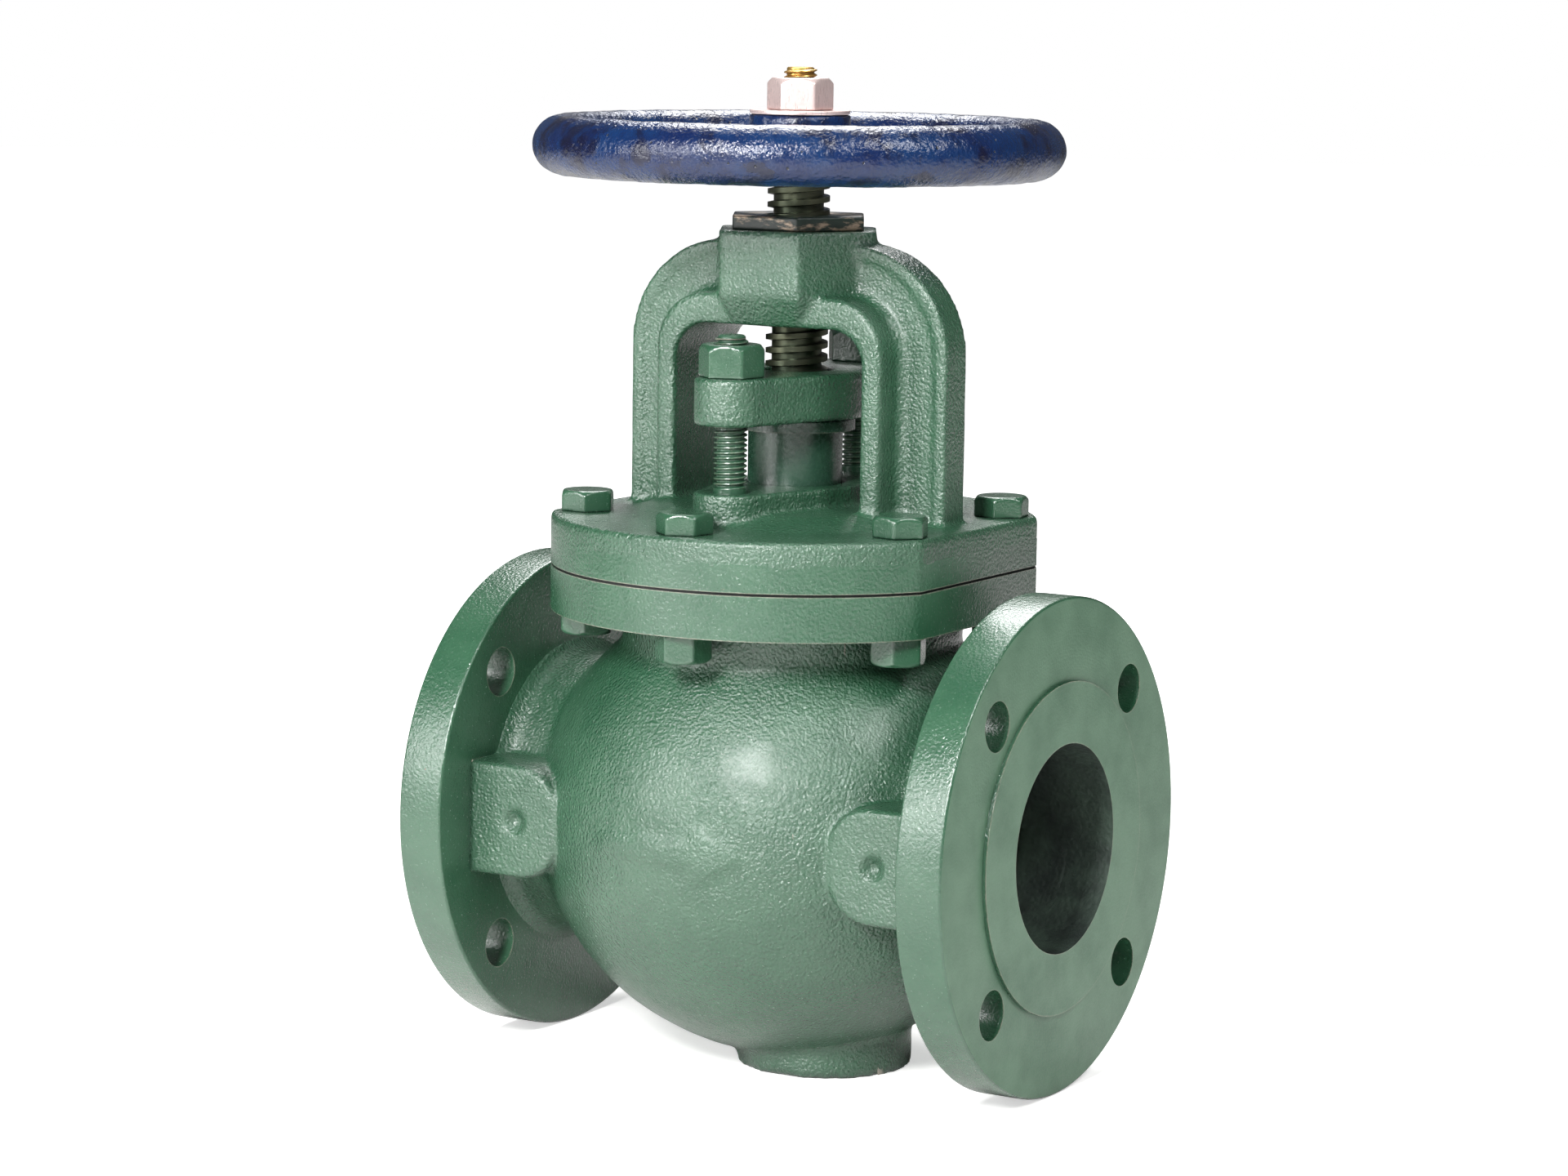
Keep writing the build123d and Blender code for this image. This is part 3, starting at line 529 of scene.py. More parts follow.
def edge_wear_and_shade_group():
    """Masks for rubbed convex edges, broken up by noise, for painted shade in hollows, and for
    chips.
    """
    tree, given, end = new_group(
        "edge_wear_and_shade",
        [("Reach", "value", 1.6 * MM), ("Hollow Reach", "value", 12.0 * MM)],
        [("Edge", "value"), ("Painted Shade", "value"), ("Chips", "value")])
    place = in_millimetres(tree)
    inner = put(tree, "ShaderNodeAmbientOcclusion", {"Distance": given["Reach"]},
                inside=True, only_local=True, samples=6).outputs["AO"]
    outer = put(tree, "ShaderNodeAmbientOcclusion", {"Distance": given["Hollow Reach"]},
                samples=6).outputs["AO"]
    breakup = noise(tree, place, 0.42, 4.0, 0.65)
    edge = maths(tree, "MULTIPLY", maths(tree, "SUBTRACT", 1.0, inner), 1.0)
    edge = step_mask(tree, maths(tree, "ADD", edge, maths(tree, "MULTIPLY", breakup, 0.45)),
                     0.62, 0.92)
    # painted shade: hollows darken by ambient occlusion, where shade falls
    painted_shade = step_mask(tree, maths(tree, "SUBTRACT", 1.0, outer), 0.25, 0.95)
    chips = step_mask(tree, noise(tree, place, 0.16, 5.0, 0.7), 0.70, 0.74)
    tree.links.new(edge, end.inputs["Edge"])
    tree.links.new(painted_shade, end.inputs["Painted Shade"])
    tree.links.new(chips, end.inputs["Chips"])
    return tree


def lathe_marks_group():
    """Fine rings left by turning, about an axis through a point, along X or along Z."""
    tree, given, end = new_group(
        "lathe_marks",
        [("Centre", "vector", None), ("Across", "vector", None), ("Pitch", "value", 0.45)],
        [("Rings", "value"), ("Scratches", "value")])
    place = in_millimetres(tree)
    away = put(tree, "ShaderNodeVectorMath", {0: place, 1: given["Centre"]},
               operation="SUBTRACT").outputs[0]
    flat = put(tree, "ShaderNodeVectorMath", {0: away, 1: given["Across"]},
               operation="MULTIPLY").outputs[0]
    radius = put(tree, "ShaderNodeVectorMath", {0: flat}, operation="LENGTH").outputs["Value"]
    along = put(tree, "ShaderNodeVectorMath",
                {0: put(tree, "ShaderNodeVectorMath", {0: away, 1: flat},
                        operation="SUBTRACT").outputs[0]},
                operation="LENGTH").outputs["Value"]
    step = maths(tree, "DIVIDE", maths(tree, "ADD", radius, along), given["Pitch"])
    line = put(tree, "ShaderNodeCombineXYZ", {"X": step}).outputs[0]
    rings = noise(tree, line, 1.0, 1.0)
    scratches = noise(tree, line, 4.0, 3.0, 0.7)
    tree.links.new(rings, end.inputs["Rings"])
    tree.links.new(scratches, end.inputs["Scratches"])
    return tree


GROUP_MAKERS = {"mould_grain": mould_grain_group, "edge_wear_and_shade": edge_wear_and_shade_group,
                "lathe_marks": lathe_marks_group}


def use_group(tree, name, inputs=None):
    """Places one of the shared effects in a material."""
    group = bpy.data.node_groups.get(name) or GROUP_MAKERS[name]()
    node = tree.nodes.new("ShaderNodeGroup")
    node.node_tree = group
    for key, value in (inputs or {}).items():
        node.inputs[key].default_value = value
    return node.outputs


def new_material(name, **shader):
    """A material with its Principled BSDF's constants set; gives the material and its tree."""
    material = bpy.data.materials.new(name)
    material.use_nodes = True
    tree = material.node_tree
    principled = tree.nodes["Principled BSDF"]
    for key, value in shader.items():
        principled.inputs[key.replace("_", " ")].default_value = value
    return material, tree, principled


def connect(tree, principled, colour=None, roughness=None, metallic=None, height=None,
            depth=0.1 * MM, strength=1.0):
    """Links what varies over the surface to the shader."""
    if colour is not None:
        tree.links.new(colour, principled.inputs["Base Color"])
    if roughness is not None:
        tree.links.new(roughness, principled.inputs["Roughness"])
    if metallic is not None:
        tree.links.new(metallic, principled.inputs["Metallic"])
    if height is not None:
        bump = put(tree, "ShaderNodeBump",
                   {"Height": height, "Distance": depth, "Strength": strength})
        tree.links.new(bump.outputs["Normal"], principled.inputs["Normal"])


def made_once(name):
    """Marks a maker whose material is made on the first call and found by name after it."""
    def mark(maker):
        return lambda: bpy.data.materials.get(name) or maker(name)
    return mark


def cast_enamel(name, paint, shade, light, grain, depth, pebbles, gloss, wear=0.8, reach=1.6 * MM,
                chips=0.0):
    """Enamel on a sand casting: grain, patches, rubbed edges and painted shade in the hollows."""
    material, tree, principled = new_material(name, Coat_Weight=0.28, Coat_Roughness=0.3)
    principled.inputs["Specular IOR Level"].default_value = 1.0
    colours = bpy.context.scene.valve_paint
    skin = use_group(tree, "mould_grain", {"Grain Size": grain / MM, "Pebbles": pebbles})
    wear_and_shade = use_group(tree, "edge_wear_and_shade", {"Reach": reach})
    patch = maths(tree, "MULTIPLY", step_mask(tree, skin["Patches"], 0.34, 0.68), 0.45)
    base = blend_colours(tree, patch, paint, light)
    speckle = maths(tree, "MULTIPLY", step_mask(tree, skin["Grain"], 0.52, 0.74), 0.35)
    base = blend_colours(tree, speckle, base, light)
    # painted shade: the shade colour darkens the hollows
    base = tint(tree, base, wear_and_shade["Painted Shade"], 0.75, shade)
    base = tint(tree, base, wear_and_shade["Edge"], wear, colours.worn_edge)
    if chips:
        base = tint(tree, base, wear_and_shade["Chips"], chips, colours.primer)
    rough = graded(tree, skin["Grain"], 0.3, gloss - 0.15)
    connect(tree, principled, base, rough, height=skin["Height"], depth=depth)
    return material


def green_enamel(name, grain, depth, pebbles, gloss, **edges):
    """Cast enamel in the three greens; the dark one is painted shade in hollows."""
    colours = bpy.context.scene.valve_paint
    return cast_enamel(name, colours.green, colours.green_dark, colours.green_light, grain,
                       depth, pebbles, gloss, **edges)


@made_once("green_cast_enamel")
def green_cast(name):
    """Green enamel on the globe, the bonnet and the yoke."""
    grain = bpy.context.scene.valve_surface.grain_size
    return green_enamel(name, grain, 0.66 * MM, 0.55, 0.22)


@made_once("green_flange_enamel")
def green_flange(name):
    """Green enamel on the rims of the flanges, with rubbed edges and a few chips."""
    grain = bpy.context.scene.valve_surface.grain_size
    return green_enamel(name, grain, 0.3 * MM, 0.4, 0.22, wear=1.0, reach=1.3 * MM, chips=0.5)


@made_once("green_hardware_enamel")
def green_hardware(name):
    """Green enamel brushed over bolts, nuts and studs."""
    return green_enamel(name, 0.9 * MM, 0.15 * MM, 0.3, 0.22, wear=1.0, reach=0.8 * MM)


@made_once("blue_wheel_enamel")
def blue_enamel(name):
    """Thick glossy blue enamel on the handwheel, with pits, dark runs and painted shade in its
    hollows.
    """
    colours = bpy.context.scene.valve_paint
    material, tree, principled = new_material(name)
    principled.inputs["Specular IOR Level"].default_value = 0.6
    skin = use_group(tree, "mould_grain", {"Grain Size": 1.5, "Pebbles": 0.35,
                                           "Unevenness": 1.0})
    wear_and_shade = use_group(tree, "edge_wear_and_shade", {"Reach": 1.5 * MM})
    place = in_millimetres(tree)
    base = blend_colours(tree, step_mask(tree, skin["Patches"], 0.3, 0.7), colours.blue,
                         colours.blue_light)
    runs = step_mask(tree, noise(tree, place, 0.07, 4.0, 0.6), 0.5, 0.66)
    base = tint(tree, base, runs, 0.75, colours.blue_dark)
    cells = put(tree, "ShaderNodeTexVoronoi", {"Vector": place, "Scale": 0.16}).outputs["Distance"]
    ragged = maths(tree, "ADD", cells, maths(tree, "MULTIPLY", skin["Grain"], 0.12))
    pits = maths(tree, "SUBTRACT", 1.0, step_mask(tree, ragged, 0.11, 0.17))
    base = tint(tree, base, pits, 0.85, colours.graphite)
    # painted shade: the hollows darken to dark blue
    base = tint(tree, base, wear_and_shade["Painted Shade"], 0.7, colours.blue_dark)
    rough = graded(tree, skin["Grain"], 0.14, 0.1)
    height = maths(tree, "SUBTRACT", skin["Height"], maths(tree, "MULTIPLY", pits, 0.6))
    connect(tree, principled, base, rough, height=height, depth=0.42 * MM)
    return material


@made_once("turned_face_enamel")
def turned_enamel(name):
    """Thin enamel on the turned faces of the end flanges, about the pipe run."""
    colours = bpy.context.scene.valve_paint
    material, tree, principled = new_material(name, Coat_Roughness=0.25)
    skin = use_group(tree, "mould_grain", {"Grain Size": 1.0, "Pebbles": 0.3})
    wear_and_shade = use_group(tree, "edge_wear_and_shade", {"Reach": 1.1 * MM})
    lathe = use_group(tree, "lathe_marks", {"Centre": (0, 0, RUN_HEIGHT / MM),
                                            "Across": (0, 1, 1), "Pitch": 0.7})
    thin = tone(88, 122, 98)
    base = blend_colours(tree, step_mask(tree, skin["Patches"], 0.2, 0.7), colours.green_light,
                         thin)
    base = tint(tree, base, lathe["Rings"], 0.3, thin)
    # painted shade: the hollows darken to dark green
    base = tint(tree, base, wear_and_shade["Painted Shade"], 0.6, colours.green_dark)
    base = blend_colours(tree, wear_and_shade["Edge"], base, colours.worn_edge)
    rough = graded(tree, skin["Grain"], 0.3, 0.26)
    rings = maths(tree, "MULTIPLY", lathe["Rings"], 0.35)
    connect(tree, principled, base, rough, height=maths(tree, "ADD", skin["Height"], rings),
            depth=0.09 * MM)
    return material


@made_once("bore_iron")
def bore_iron(name):
    """Rough iron inside the ports and the globe, thinly painted; its dark colours are painted
    shade.
    """
    colours = bpy.context.scene.valve_paint
    material, tree, principled = new_material(name)
    skin = use_group(tree, "mould_grain", {"Grain Size": 1.8, "Pebbles": 0.8})
    patch = step_mask(tree, skin["Patches"], 0.3, 0.7)
    # painted shade: the bore's greens are dark, as shade falls inside it
    base = blend_colours(tree, patch, tone(38, 48, 44), tone(70, 88, 76))
    base = tint(tree, base, skin["Grain"], 0.4, colours.graphite)
    rough = graded(tree, skin["Grain"], 0.3, 0.45)
    connect(tree, principled, base, rough, height=skin["Height"], depth=0.3 * MM)
    return material


def turned_metal(name, metal, stain_and_shade, gloss, metallic=0.9, pitch=0.35, stain_share=0.7):
    """Turned metal about the stem's axis, with rings, stains, painted shade in hollows and rubbed
    edges.
    """
    material, tree, principled = new_material(name, Metallic=metallic)
    lathe = use_group(tree, "lathe_marks", {"Centre": (0, 0, 0), "Across": (1, 1, 0),
                                            "Pitch": pitch})
    skin = use_group(tree, "mould_grain", {"Grain Size": 1.6, "Pebbles": 0.2})
    wear_and_shade = use_group(tree, "edge_wear_and_shade", {"Reach": 0.7 * MM})
    grime = maths(tree, "MULTIPLY", step_mask(tree, skin["Patches"], 0.35, 0.68), stain_share)
    base = blend_colours(tree, grime, metal, stain_and_shade)
    # painted shade: the stain colour also darkens the hollows
    base = tint(tree, base, wear_and_shade["Painted Shade"], 0.8, stain_and_shade)
    lighter = tuple(min(1.0, share * 1.35) for share in metal)
    base = tint(tree, base, wear_and_shade["Edge"], 0.7, lighter)
    rough = graded(tree, lathe["Scratches"], 0.25, gloss - 0.12)
    height = maths(tree, "ADD", lathe["Rings"], maths(tree, "MULTIPLY", skin["Height"], 0.5))
    connect(tree, principled, base, rough, height=height, depth=0.05 * MM)
    return material


@made_once("bright_zinc")
def zinc_plate(name):
    """Bright zinc plating with faint vertical scratches, grey smears and painted shade in its
    hollows.
    """
    colours = bpy.context.scene.valve_paint
    material, tree, principled = new_material(name)
    skin = use_group(tree, "mould_grain", {"Grain Size": 0.8, "Pebbles": 0.3})
    wear_and_shade = use_group(tree, "edge_wear_and_shade", {"Reach": 0.7 * MM})
    place = in_millimetres(tree)
    stretched = put(tree, "ShaderNodeVectorMath", {0: place, 1: (1.0, 1.0, 0.12)},
                    operation="MULTIPLY").outputs[0]
    scratch = noise(tree, stretched, 1.6, 4.0, 0.7)
    base = blend_colours(tree, maths(tree, "MULTIPLY", step_mask(tree, scratch, 0.5, 0.75), 0.45),
                         colours.zinc, tone(176, 138, 134))
    # painted shade: the hollows darken
    base = tint(tree, base, wear_and_shade["Painted Shade"], 0.6, tone(150, 112, 108))
    rough = graded(tree, scratch, 0.3, 0.16)
    metallic = graded(tree, skin["Patches"], -0.3, 0.75)
    connect(tree, principled, base, rough, metallic,
            height=maths(tree, "ADD", skin["Height"], scratch), depth=0.04 * MM)
    return material


@made_once("overpainted_bronze")
def bushing_bronze(name):
    """Bronze with thin green overspray that has rubbed off its edges and flats, and painted shade
    in its hollows.
    """
    colours = bpy.context.scene.valve_paint
    material, tree, principled = new_material(name)
    skin = use_group(tree, "mould_grain", {"Grain Size": 1.0, "Pebbles": 0.3})
    wear_and_shade = use_group(tree, "edge_wear_and_shade", {"Reach": 1.2 * MM})
    place = in_millimetres(tree)
    streak = put(tree, "ShaderNodeVectorMath", {0: place, 1: (0.35, 0.35, 1.0)},
                 operation="MULTIPLY").outputs[0]
    bare = step_mask(tree, noise(tree, streak, 0.22, 4.0, 0.65), 0.5, 0.64)
    bare = maths(tree, "MAXIMUM", bare, wear_and_shade["Edge"])
    base = blend_colours(tree, bare, colours.green_dark, colours.bronze)
    # painted shade: the hollows darken to dark green
    base = tint(tree, base, wear_and_shade["Painted Shade"], 0.6, colours.green_dark)
    rough = graded(tree, skin["Grain"], 0.3, 0.24)
    connect(tree, principled, base, rough, maths(tree, "MULTIPLY", bare, 0.7),
            height=skin["Height"], depth=0.07 * MM)
    return material


def pressed_fibre(name, fibre, weave):
    """Graphite packing or gasket: a fine braided, slightly shiny dark surface."""
    material, tree, principled = new_material(name, Roughness=0.6)
    place = in_millimetres(tree)
    bands = put(tree, "ShaderNodeTexWave", {"Vector": place, "Scale": weave, "Distortion": 3.0,
                                            "Detail": 2.0}, bands_direction="DIAGONAL")
    flecks = noise(tree, place, 2.2, 3.0, 0.7)
    base = tint(tree, fibre, flecks, 0.25, tone(58, 58, 57))
    rough = graded(tree, flecks, 0.35, 0.4)
    height = maths(tree, "ADD", bands.outputs["Fac"], flecks)
    connect(tree, principled, base, rough, height=height, depth=0.15 * MM)
    return material


# ---------------------------------------------------------------- the body
class GLOBEVALVE_OT_globe(bpy.types.Operator):
    """Cast globe with its foot, and the two necks with their lugs"""
    bl_idname = "globevalve.globe"
    bl_label = "Globe casting"

    def execute(self, context):
        surface = context.scene.valve_surface
        reach = NECK_START + NECK_LAP
        globe = self.casting(surface, "globe_casting", surface.body_skin, (),
                             (((reach, 0, 0), (1, 0, 0)), ((-reach, 0, 0), (-1, 0, 0))))
        for name, end in (("inlet_neck", -1), ("outlet_neck", 1)):
            self.casting(surface, name, surface.neck_skin,
                         (((end * (FLANGE_BACK - CUT_OVERLAP), 0, 0), (end, 0, 0)),),
                         (((end * NECK_START, 0, 0), (-end, 0, 0)),))
        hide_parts("body")
        return {"FINISHED"}

    def casting(self, surface, name, facet, roots, laps):
        """One length of the body: cut off at planes, rooted in its flanges, under one skin."""
        piece = copy_node("body", name)
        roots = (*roots, ((0, 0, JOINT_FLANGE_FOOT - CUT_OVERLAP), (0, 0, 1)))
        for point, outward in (*roots, *laps):
            cut_away(piece, point, outward)
        for point, outward in roots:
            lengthen_cap(piece, point, outward, SKIN_ROOT)
        soften(piece, facet, 3)
        add_lumps(piece, surface.lump_size, surface.lump_depth)
        finish_piece(piece, "valve", "green_cast", green_cast(), bore_iron())
        self.line_ports(piece)
        return piece

    @staticmethod
    def line_ports(piece):
        """Gives the waterway inside the two ports the bore finish, whose darkness is painted
        shade.
        """
        for face in piece.data.polygons:
            reach = math.hypot(face.center.y, face.center.z - RUN_HEIGHT)
            inward = face.normal.y * face.center.y + face.normal.z * (face.center.z - RUN_HEIGHT)
            if reach < PORT_RADIUS * 1.9 and inward < 0 and reach < FLANGE_BACK * 0.86:
                face.material_index = 1


class GLOBEVALVE_OT_end_flanges(bpy.types.Operator):
    """Inlet and outlet flanges with turned faces"""
    bl_idname = "globevalve.end_flanges"
    bl_label = "End flanges"

    def execute(self, context):
        side = FLANGE_BACK - CUT_OVERLAP
        for name, end in (("inlet_flange", -1), ("outlet_flange", 1)):
            piece = copy_node("body", name)
            cut_away(piece, (end * side, 0, 0), (-end, 0, 0))
            smooth_by_angle(piece)
            finish_piece(piece, "valve", "green_cast", green_flange(), turned_enamel(),
                         bore_iron())
            for face in piece.data.polygons:
                reach = math.hypot(face.center.y, face.center.z - RUN_HEIGHT)
                outer = abs(face.center.x) > FLANGE_BACK + FLANGE_DEPTH / 2
                if outer and abs(face.normal.x) > 0.9:
                    face.material_index = 1
                # The bore faces get the bore finish, darkened as painted shade.
                elif reach < PORT_RADIUS + MM and abs(face.normal.x) < 0.5:
                    face.material_index = 2
        return {"FINISHED"}


class GLOBEVALVE_OT_joint_flange(bpy.types.Operator):
    """Body flange under the bonnet gasket"""
    bl_idname = "globevalve.joint_flange"
    bl_label = "Joint flange"

    def execute(self, context):
        piece = copy_node("body", "joint_flange")
        beside = FLANGE_BACK - FLANGE_DEPTH / 2
        cut_away(piece, (0, 0, JOINT_FLANGE_FOOT - CUT_OVERLAP), (0, 0, -1))
        cut_away(piece, (beside, 0, 0), (1, 0, 0))
        cut_away(piece, (-beside, 0, 0), (-1, 0, 0))
        smooth_by_angle(piece)
        finish_piece(piece, "valve", "green_cast", green_flange())
        return {"FINISHED"}


# ---------------------------------------------------------------- bonnet and yoke
class GLOBEVALVE_OT_bonnet(bpy.types.Operator):
    """Bonnet cover and yoke casting"""
    bl_idname = "globevalve.bonnet"
    bl_label = "Bonnet and yoke"

    def execute(self, context):
        surface = context.scene.valve_surface
        plate_depth = COVER_TOP - GASKET_TOP
        plate = copy_node("bonnet", "cover_plate")
        plate_cut = (0, 0, COVER_TOP - plate_depth * 0.45)
        cut_away(plate, plate_cut, (0, 0, 1))
        lengthen_cap(plate, plate_cut, (0, 0, 1), plate_depth * 0.15, taper=0.97)
        smooth_by_angle(plate)
        finish_piece(plate, "valve", "green_cast", green_flange())

        yoke = copy_node("bonnet", "bonnet_yoke")
        cut_away(yoke, (0, 0, COVER_TOP - plate_depth * 0.6), (0, 0, -1))
        soften(yoke, surface.bonnet_skin, 7)
        add_lumps(yoke, surface.lump_size, surface.lump_depth * 0.6)
        self.clear_stuffing_box(yoke)
        finish_piece(yoke, "valve", "green_cast", green_cast())
        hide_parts("bonnet")
        return {"FINISHED"}

    @staticmethod
    def clear_stuffing_box(yoke):
        """Opens the skin of the packing's bore a little, so that the gland slides freely."""
        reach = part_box("packing_ring_1")[1].x + 0.9 * MM
        low, high = PACKING_FOOT, node_foot("gland_flange")
        select_points(yoke, lambda place: low < place.z < high
                      and math.hypot(place.x, place.y) < reach)
        bpy.ops.transform.resize(value=(1.025, 1.025, 1), center_override=(0, 0, 0))
        leave_edit()


# ---------------------------------------------------------------- fasteners
class GLOBEVALVE_OT_fasteners(bpy.types.Operator):
    """Bonnet bolts and nuts and the gland nuts, their edges softened by paint"""
    bl_idname = "globevalve.fasteners"
    bl_label = "Bolts and nuts"

    def execute(self, context):
        facet = context.scene.valve_surface.fastener_skin
        pieces = (("bonnet_bolts", "hex_bolts", "valve"), ("bonnet_nuts", "hex_nuts", "valve"),
                  ("gland_nut_front", "front_nut", "front_gland_nut"),
                  ("gland_nut_rear", "rear_nut", "rear_gland_nut"))
        for node, name, body in pieces:
            piece = copy_node(node, name)
            soften(piece, facet, 3)
            finish_piece(piece, body, "green_hardware", green_hardware())
            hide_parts(node)
        return {"FINISHED"}


class GLOBEVALVE_OT_gland(bpy.types.Operator):
    """Cast gland flange, and the two threaded studs it slides on"""
    bl_idname = "globevalve.gland"
    bl_label = "Gland"

    def execute(self, context):
        surface = context.scene.valve_surface
        piece = copy_node("gland_flange", "gland_casting")
        soften(piece, GLAND_SKIN, 3)
        add_lumps(piece, surface.lump_size * 0.7, surface.lump_depth * 0.6)
        finish_piece(piece, "gland", "green_cast", green_cast())
        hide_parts("gland_flange")
        for side, place in ((-1, "front"), (1, "rear")):
            self.stud(context, f"threaded_stud_{place}", f"gland_stud_{place}", side * STUD_REACH)
        return {"FINISHED"}

    @staticmethod
    def stud(context, name, node, reach):
        surface = context.scene.valve_surface
        crest = (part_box(node)[1].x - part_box(node)[0].x) / 2
        depth = surface.stud_thread_depth
        point = 1.2 * MM
        thread_foot = STUD_FOOT + 19.0 * MM
        piece = screw_thread(name, crest, depth, surface.stud_pitch, thread_foot,
                             STUD_TOP - point, steps=28)
        core = turned_bar("core", ((crest, STUD_FOOT), (crest, thread_foot + 0.5 * MM),
                                   (crest - depth, thread_foot + depth),
                                   (crest - depth, STUD_TOP - point / 2),
                                   (crest - depth * 1.6, STUD_TOP)), sides=28)
        combine(piece, core, "UNION")
        edit_all(piece)
        bpy.ops.transform.translate(value=(0, reach, 0))
        leave_edit()
        smooth_by_angle(piece)
        finish_piece(piece, "valve", "green_hardware", green_hardware())
        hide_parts(node)


# ---------------------------------------------------------------- stem and its bushing
class GLOBEVALVE_OT_stem(bpy.types.Operator):
    """Stem with its long screw thread, square and threaded tip"""
    bl_idname = "globevalve.stem"
    bl_label = "Stem"

    def execute(self, context):
        surface = context.scene.valve_surface
        colours = context.scene.valve_paint
        crest, depth = STEM_CREST, surface.stem_thread_depth
        thread_foot = node_top("gland_flange") - 9.0 * MM
        foot = node_foot("stem")
        shank = turned_bar("shank", (
            (BUTTON - 0.9 * MM, foot), (BUTTON, foot + 0.9 * MM), (BUTTON, foot + 7.7 * MM),
            (GROOVE, foot + 7.71 * MM), (GROOVE, foot + 28.05 * MM),
            (SHOULDER - 0.8 * MM, foot + 28.06 * MM), (SHOULDER, foot + 28.9 * MM),
            (SHOULDER, foot + 32.05 * MM), (crest, foot + 36.25 * MM),
            (crest, thread_foot), (crest - depth, thread_foot + depth),
            (crest - depth, WHEEL_FOOT + 0.2 * MM)), sides=72)
        piece = screw_thread("stem_screw", crest, depth, surface.stem_pitch,
                             thread_foot + 0.3 * MM, WHEEL_FOOT, steps=56, flat=True)
        combine(piece, shank, "UNION")
        combine(piece, self.square(), "UNION")
        smooth_by_angle(piece)
        # the stem's second colour is its stain, and painted shade in its hollows
        finish_piece(piece, "stem_group", "stem_brass",
                     turned_metal("greased_stem", colours.stem_metal, tone(50, 60, 49), 0.34))
        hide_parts("stem")
        self.tip(surface, colours)
        return {"FINISHED"}

    @staticmethod
    def square():
        """The square that drives the handwheel, its corners bevelled."""
        height = WHEEL_TOP - WHEEL_FOOT - MM
        bpy.ops.object.select_all(action="DESELECT")
        bpy.ops.mesh.primitive_cube_add(size=1, location=(0, 0, WHEEL_FOOT + height / 2),
                                        scale=(SQUARE, SQUARE, height))
        bar = bpy.context.object
        place_in_mesh(bar)
        edit_all(bar)
        bpy.ops.mesh.bevel(offset=0.9 * MM, segments=2, affect="EDGES")
        leave_edit()
        return bar

    @staticmethod
    def tip(surface, colours):
        """The threaded end that the wheel nut screws on."""
        crest, depth = TIP_CREST, surface.stud_thread_depth
        foot = WHEEL_TOP - 2.0 * MM
        tip = screw_thread("stem_tip", crest, depth, surface.stud_pitch, foot,
                           STEM_TOP - 0.8 * MM, steps=36)
        core = turned_bar("tip_core", ((crest - depth, foot - 3.0 * MM),
                                       (crest - depth, STEM_TOP - 0.4 * MM),
                                       (crest - depth * 1.5, STEM_TOP)), sides=36)
        combine(tip, core, "UNION")
        smooth_by_angle(tip)
        # the tip's second colour is its stain, and painted shade in its hollows
        finish_piece(tip, "stem_group", "stem_brass",
                     turned_metal("bare_brass", colours.brass, tone(120, 84, 40), 0.3,
                                  stain_share=0.4))


class GLOBEVALVE_OT_bushing(bpy.types.Operator):
    """Yoke bushing with its hexagon worn to bare bronze"""
    bl_idname = "globevalve.bushing"
    bl_label = "Yoke bushing"

    def execute(self, context):
        piece = copy_node("yoke_bushing", "bronze_bushing")
        soften(piece, BUSHING_SKIN, 1)
        finish_piece(piece, "valve", "bronze", bushing_bronze())
        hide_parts("yoke_bushing")
        return {"FINISHED"}


# ---------------------------------------------------------------- handwheel
class GLOBEVALVE_OT_handwheel(bpy.types.Operator):
    """Cast handwheel under thick enamel"""
    bl_idname = "globevalve.handwheel"
    bl_label = "Handwheel"

    def execute(self, context):
        surface = context.scene.valve_surface
        piece = copy_node("handwheel", "cast_handwheel")
        soften(piece, surface.wheel_skin, 8)
        add_lumps(piece, 9.0 * MM, 0.7 * MM)
        finish_piece(piece, "stem_group", "blue_enamel", blue_enamel())
        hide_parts("handwheel")
        return {"FINISHED"}


class GLOBEVALVE_OT_wheel_nut(bpy.types.Operator):
    """Zinc plated nut and washer that hold the handwheel"""
    bl_idname = "globevalve.wheel_nut"
    bl_label = "Wheel nut and washer"

    def execute(self, context):
        nut = copy_node("wheel_nut", "plated_nut")
        soften(nut, WHEEL_NUT_SKIN, 5)
        washer = copy_node("wheel_washer", "plated_washer")
        soften(washer, WASHER_SKIN, 1)
        for piece, node in ((nut, "wheel_nut"), (washer, "wheel_washer")):
            finish_piece(piece, "stem_group", "bright_steel", zinc_plate())
            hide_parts(node)
        return {"FINISHED"}


# ---------------------------------------------------------------- pieces that keep their CAD shape
class GLOBEVALVE_OT_inner_pieces(bpy.types.Operator):
    """Finishes of the pieces that keep their CAD shape"""
    bl_idname = "globevalve.inner_pieces"
    bl_label = "Inner pieces"

    def execute(self, context):
        colours = context.scene.valve_paint
        # the second colour of each turned metal is its stain, and painted shade in its hollows
        steel = turned_metal("turned_steel", tone(150, 150, 146), tone(74, 66, 58), 0.3)
        bronze = turned_metal("turned_bronze", tone(176, 128, 78), tone(84, 62, 42), 0.32)
        # the sleeve's second colour is the painted shade in its hollows
        collar = cast_enamel("sleeve_enamel", tone(40, 74, 57), tone(16, 26, 21),
                             tone(56, 88, 70), 1.6 * MM, 0.12 * MM, 0.3, 0.26, wear=0.5)
        fibre = pressed_fibre("gasket_sheet", tone(12, 12, 12), 0.9)
        finishes = {"seat_ring": bronze, "backseat_bushing": bronze, "disc": bronze,
                    "disc_nut": steel, "bushing_set_screw": steel, "gland_sleeve": collar,
                    "bonnet_gasket": fibre}
        for name, material in finishes.items():
            materials = NODES[name].data.materials
            materials.clear()
            materials.append(material)
        return {"FINISHED"}


